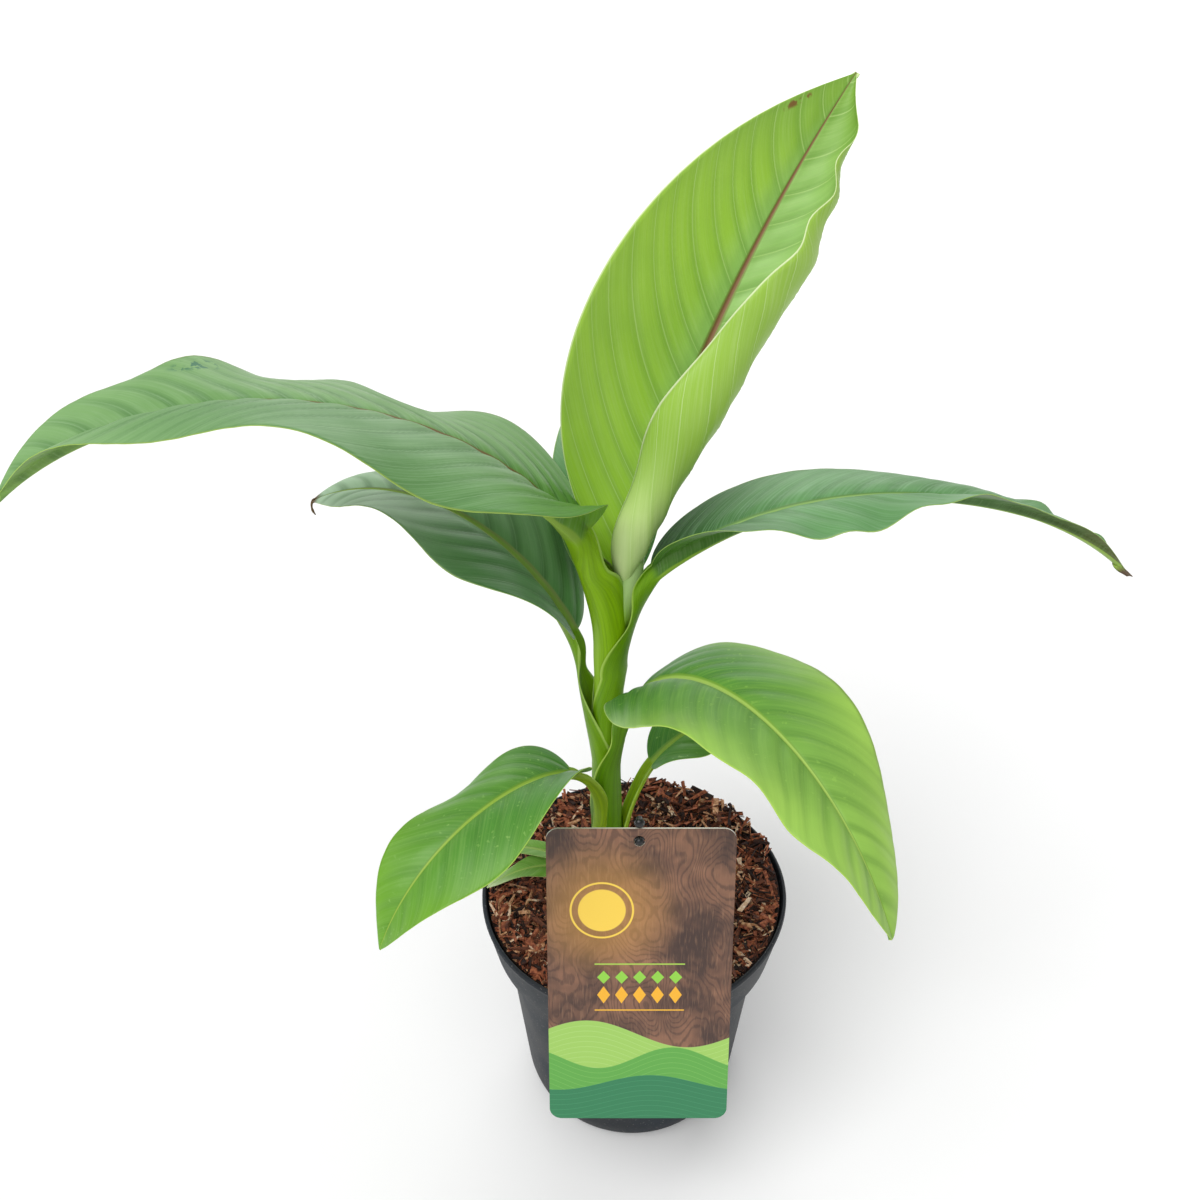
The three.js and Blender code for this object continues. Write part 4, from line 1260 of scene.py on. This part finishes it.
# %% Keep them inside the wall
# a chip that would run through the wall slides back in by as much, but one that lies higher than
# the rim may reach over it
reach_out = np.hypot(chips[..., 0], chips[..., 1]).max(1)
middle = chips.mean(1)
allowed = SOIL_RADIUS - 0.4 + 4.4 * (chips[..., 2].min(1) > POT["height"] - 0.6)
inward = np.maximum(reach_out - allowed, 0) / np.hypot(middle[:, 0], middle[:, 1])
chips[..., :2] -= (inward[:, None] * middle[:, :2])[:, None]
chip_faces = (BOX_FACES[None] + 8 * np.arange(len(chips))[:, None, None]).reshape(-1, 4)
tones = rng.choice(len(CHIP_TONES), len(chips), p=[part for *_, part in CHIP_TONES.values()])
chip_piece = make_piece("bark_chips", chips.reshape(-1, 3), [chip_faces], chip_finishes,
                        np.repeat(tones, 6), slot="soil")
chip_piece.data.shade_flat()

# %% [markdown]
# ## Label
# A printed plastic card hangs on the stake's stud and leans on the rim. Its print could be an
# image, but a few formulas on the card's own millimetres draw a plain design that stays sharp: a
# brown grained ground, green hills, a sun, and two rows of lozenges between two rules. It carries
# no words. The cut edge stays pale, which the surface's own normal tells from the printed face.

# %% The card's own directions
CARD_LEAN, CARD_LENGTH, CARD_THICK = 17.0, 188.0, 1.2


def leaning(degrees):
    """Up along a flat thing that leans back by an angle, and out of its front."""
    lean = np.radians(degrees)
    return np.array([0, np.sin(lean), np.cos(lean)]), np.array([0, -np.cos(lean), np.sin(lean)])


card_up, card_out = leaning(CARD_LEAN)
# its box's lowest corner lies under the front edge of the foot, and the back is a thickness on
card_foot = np.array(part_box("label_card")[0]) / MM + [0, CARD_THICK * card_up[2], 0]
print("card's foot at", card_foot.round(1), "and its up", card_up.round(3))

# %% Ground and sun
SUN_PLACE, SUN_RADIUS, SUN_RING = (30.0, 138.0), 13.0, 17.0


def dot_with(vector, direction):
    """How far a point lies along a direction."""
    made = add(vector.id_data, "ShaderNodeVectorMath", {0: vector, 1: direction.tolist()},
               operation="DOT_PRODUCT")
    return made.outputs["Value"]


def wooden_ground(place, x):
    """Grain lines that follow a slow noise, between warm browns."""
    warp = plus(times(noise(stretched(place, (1, 0.5, 1)), 0.02, 2, 0.6), 260.0),
                times(noise(stretched(place, (1, 0.25, 1)), 0.22, 3, 0.6), 7.0))
    rings = ease(maths("SINE", plus(warp, times(x, 0.35))), 0.1, 1.0)
    shade = tint(ease(noise(place, 0.03, 3, 0.6), 0.32, 0.68), colour("#3c231a"), colour("#8a5f46"))
    shade = tint(times(rings, 0.55), shade, colour("#3a2117"))
    fleck = ease(noise(stretched(place, (1, 0.1, 1)), 0.9, 2, 0.6), 0.5, 0.75)
    return tint(times(fleck, 0.3), shade, colour("#a97f60"))


def sun(shade, x, y):
    """A glow, a disc and a ring round it, by the distance from the sun's middle."""
    away = maths("SQRT", plus(maths("POWER", minus(x, SUN_PLACE[0]), 2.0),
                              maths("POWER", minus(y, SUN_PLACE[1]), 2.0)))
    shade = tint(times(ease(away, 48.0, 14.0), 0.35), shade, colour("#e3a54a"))
    ring = maths("ABSOLUTE", minus(away, SUN_RING))
    for mask in (ease(away, SUN_RADIUS + 0.3, SUN_RADIUS - 0.3), ease(ring, 0.7, 0.4)):
        shade = tint(mask, shade, colour("#f6cf4b"))
    return shade


print("the sun is", 2 * SUN_RADIUS, "mm across")

# %% Hills and lozenges
# height, swing, wave, start, tone, line
HILLS = [(58.0, 9.0, 0.055, 0.4, "#9cc95c", "#b9dc82"),
         (42.0, 7.0, 0.075, 2.6, "#5aa53f", "#7cc05a"),
         (25.0, 5.0, 0.06, 4.4, "#1f7a4c", "#3c9663")]
PRINT_LEFT, PRINT_RIGHT = 26.0, 76.0
RULES = [(104.0, "#a8d24c"), (74.0, "#f0b429")]  # height, tone
LOZENGES = [(95.5, 4.2, "#8fcf3f"), (84.0, 5.6, "#f4b31f")]  # height, half of how tall, tone
LOZENGE_HALF, LOZENGE_STEP = 3.6, 5.0  # half of how wide, and half way to the next


def hills(shade, x, y):
    """Three edges y = height + swing sin(wave x + start), each lower and darker, with fine lines
    along them."""
    for height, swing, wave, start, tone, line in HILLS:
        under = minus(plus(times(maths("SINE", plus(times(x, wave), start)), swing), height), y)
        stripe = ease(maths("ABSOLUTE", maths("SINE", times(under, 0.9))), 0.25, 0.0)
        shade = tint(ease(under, -0.2, 0.2), shade,
                     tint(times(stripe, 0.7), colour(tone), colour(line)))
    return shade


def lozenges(shade, x, y):
    """Two thin rules, and between them rows of shapes |x| / LOZENGE_HALF + |y| / tall < 1."""
    inside = times(ease(x, PRINT_LEFT - 0.2, PRINT_LEFT + 0.2),
                   ease(x, PRINT_RIGHT + 0.2, PRINT_RIGHT - 0.2))
    for level, tone in RULES:
        rule = ease(maths("ABSOLUTE", minus(y, level)), 0.5, 0.3)
        shade = tint(times(rule, inside), shade, colour(tone))
    for level, tall, tone in LOZENGES:
        step = minus(LOZENGE_STEP, maths("PINGPONG", minus(x, PRINT_LEFT), LOZENGE_STEP))
        shape = plus(over(step, LOZENGE_HALF), over(maths("ABSOLUTE", minus(y, level)), tall))
        shade = tint(times(ease(shape, 1.03, 0.97), inside), shade, colour(tone))
    return shade


print(len(HILLS), "hills,", len(RULES), "rules and", len(LOZENGES), "rows of lozenges")

# %% The whole print
def card_print_group():
    """The design, from `Across` and `Up` in mm from the card's lower left corner."""
    tree, given, out = new_group("card_print", {"Across": ("value", 0.0), "Up": ("value", 0.0)},
                                 {"Colour": "colour"})
    x, y = given["Across"], given["Up"]
    place = add(tree, "ShaderNodeCombineXYZ", {0: x, 1: y}).outputs[0]
    shade = sun(wooden_ground(place, x), x, y)
    tree.links.new(lozenges(hills(shade, x, y), x, y), out["Colour"])
    return tree


def card_finish():
    """The print on the face, paler plastic on the back, and a pale cut edge."""
    finish, tree, shader = new_finish("card_print", Roughness=0.34, Coat_Weight=0.25,
                                      Coat_Roughness=0.25)
    spot = add(tree, "ShaderNodeVectorMath", {0: object_place(tree), 1: (card_foot * MM).tolist()},
               operation="SUBTRACT").outputs[0]
    across, upward = (over(dot_with(spot, way), MM) for way in (np.array([1.0, 0, 0]), card_up))
    printed = add(tree, "ShaderNodeGroup", {"Across": across, "Up": upward},
                  node_tree=card_print_group()).outputs[0]
    facing = dot_with(add(tree, "ShaderNodeNewGeometry").outputs["Normal"], card_out)
    shade = tint(ease(facing, 0.5, 0.9), colour("#d8d2c4"), printed)
    shade = tint(ease(facing, -0.5, -0.9), shade, colour("#e7e2d6"))
    tree.links.new(shade, shader.inputs["Base Color"])
    return finish


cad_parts["label_card"].material_slots[0].material = card_finish()
print("card print:", len(bpy.data.node_groups["card_print"].nodes), "nodes")

# %% [markdown]
# ## Stake
# The card hangs on a flat black stake with two moulded studs. A stud's head is a dome on a short
# neck, so it is a small profile turned about its own axis and laid along the card's thickness.
# The stick could be a cube with a Bevel, but a ring of eight corners carried along it does the
# same, and goes on down into the soil.

# %% Parts of the stake
STAKE = dict(lean=10.0, width=5.0, thickness=2.4, behind=3.2, hole_drop=7.5, knob_rise=11.0,
             depth=9.0)
STUD_HEAD = [(0.01, 4.3), (1.1, 4.2), (2.1, 3.7), (2.7, 2.9), (2.85, 2.1), (2.5, 1.6), (1.7, 1.4),
             (1.6, -2.4), (0.01, -2.4)]


def rounded_stick(width, thickness, low, high, bevel=0.5):
    """A stick along its own Y: a rectangle with cut corners, at both ends drawn in by the bevel."""
    x, z = width / 2, thickness / 2
    ring = np.array([[-x + bevel, -z], [x - bevel, -z], [x, -z + bevel], [x, z - bevel],
                     [x - bevel, z], [-x + bevel, z], [-x, z - bevel], [-x, -z + bevel]])
    shrink = np.array([0.75, 1, 1, 0.75])[:, None, None]
    level = np.array([low, low + bevel, high - bevel, high])[:, None, None]
    points = np.concatenate([ring[None, :, :1] * shrink, level + 0 * ring[None, :, :1],
                             ring[None, :, 1:] * shrink], -1).reshape(-1, 3)
    return np.concatenate([points, [[0, low, 0], [0, high, 0]]]), closed_tube(4, 8)


def stud(rise, scale, proud):
    """A turned head whose neck goes through the stick, `rise` mm up and `proud` mm out of it."""
    head, faces = turned(np.array(STUD_HEAD) * [scale, 1], 24)
    return head + [0, rise, proud + STAKE["thickness"] / 2 - 1.4], faces


print("stud heads", 2 * STUD_HEAD[4][0], "mm across")

# %% Stake
stake_up, stake_out = leaning(STAKE["lean"])
stud_place = (card_foot + card_up * (CARD_LENGTH - STAKE["hole_drop"])
              - card_out * (STAKE["behind"] + 0.6))
stud_place[0] = 0.0
foot_down = (stud_place[2] - SOIL_LEVEL) / stake_up[2] + STAKE["depth"]
parts = [rounded_stick(STAKE["width"], STAKE["thickness"], -foot_down, 4.0),
         rounded_stick(0.7 * STAKE["width"], STAKE["thickness"], 3.0, STAKE["knob_rise"] + 1.0),
         stud(0.0, 0.84, 2.2), stud(STAKE["knob_rise"], 1.0, 1.2)]
starts = np.cumsum([0] + [len(points) for points, _ in parts])
stake_faces = [face + start for (points, faces), start in zip(parts, starts)
               for face in face_outwards(points, faces)]
local = np.concatenate([points for points, _ in parts])
stake_points = (stud_place + local[:, :1] * [1.0, 0, 0] + local[:, 1:2] * stake_up
                + local[:, 2:] * stake_out)
stake_finish = plastic_finish("stake_plastic", "#0d0f12", "#1a1d21", 0.5, Matt=0.3)
make_piece("stake_with_studs", stake_points, stake_faces, [stake_finish], node="label_stake",
           slot="stake")

# %% [markdown]
# ## Floor
# A plain pale floor that the pot stands on. A bare world would leave the plant hanging without a
# shadow. It isn't part of the plant.

# %% Floor
FLOOR_HALF = 30  # metres, far past what the camera sees

floor_mesh = bpy.data.meshes.new("floor")
corners = [(x * FLOOR_HALF, y * FLOOR_HALF, 0) for x, y in ((-1, -1), (1, -1), (1, 1), (-1, 1))]
floor_mesh.from_pydata(corners, [], [(0, 1, 2, 3)])
floor = bpy.data.objects.new("floor", floor_mesh)
bpy.context.collection.objects.link(floor)
floor_finish = new_finish("floor_pale", Roughness=0.9, Base_Color=(0.9, 0.9, 0.9, 1))[0]
floor_mesh.materials.append(floor_finish)
print("floor", 2 * FLOOR_HALF, "m square")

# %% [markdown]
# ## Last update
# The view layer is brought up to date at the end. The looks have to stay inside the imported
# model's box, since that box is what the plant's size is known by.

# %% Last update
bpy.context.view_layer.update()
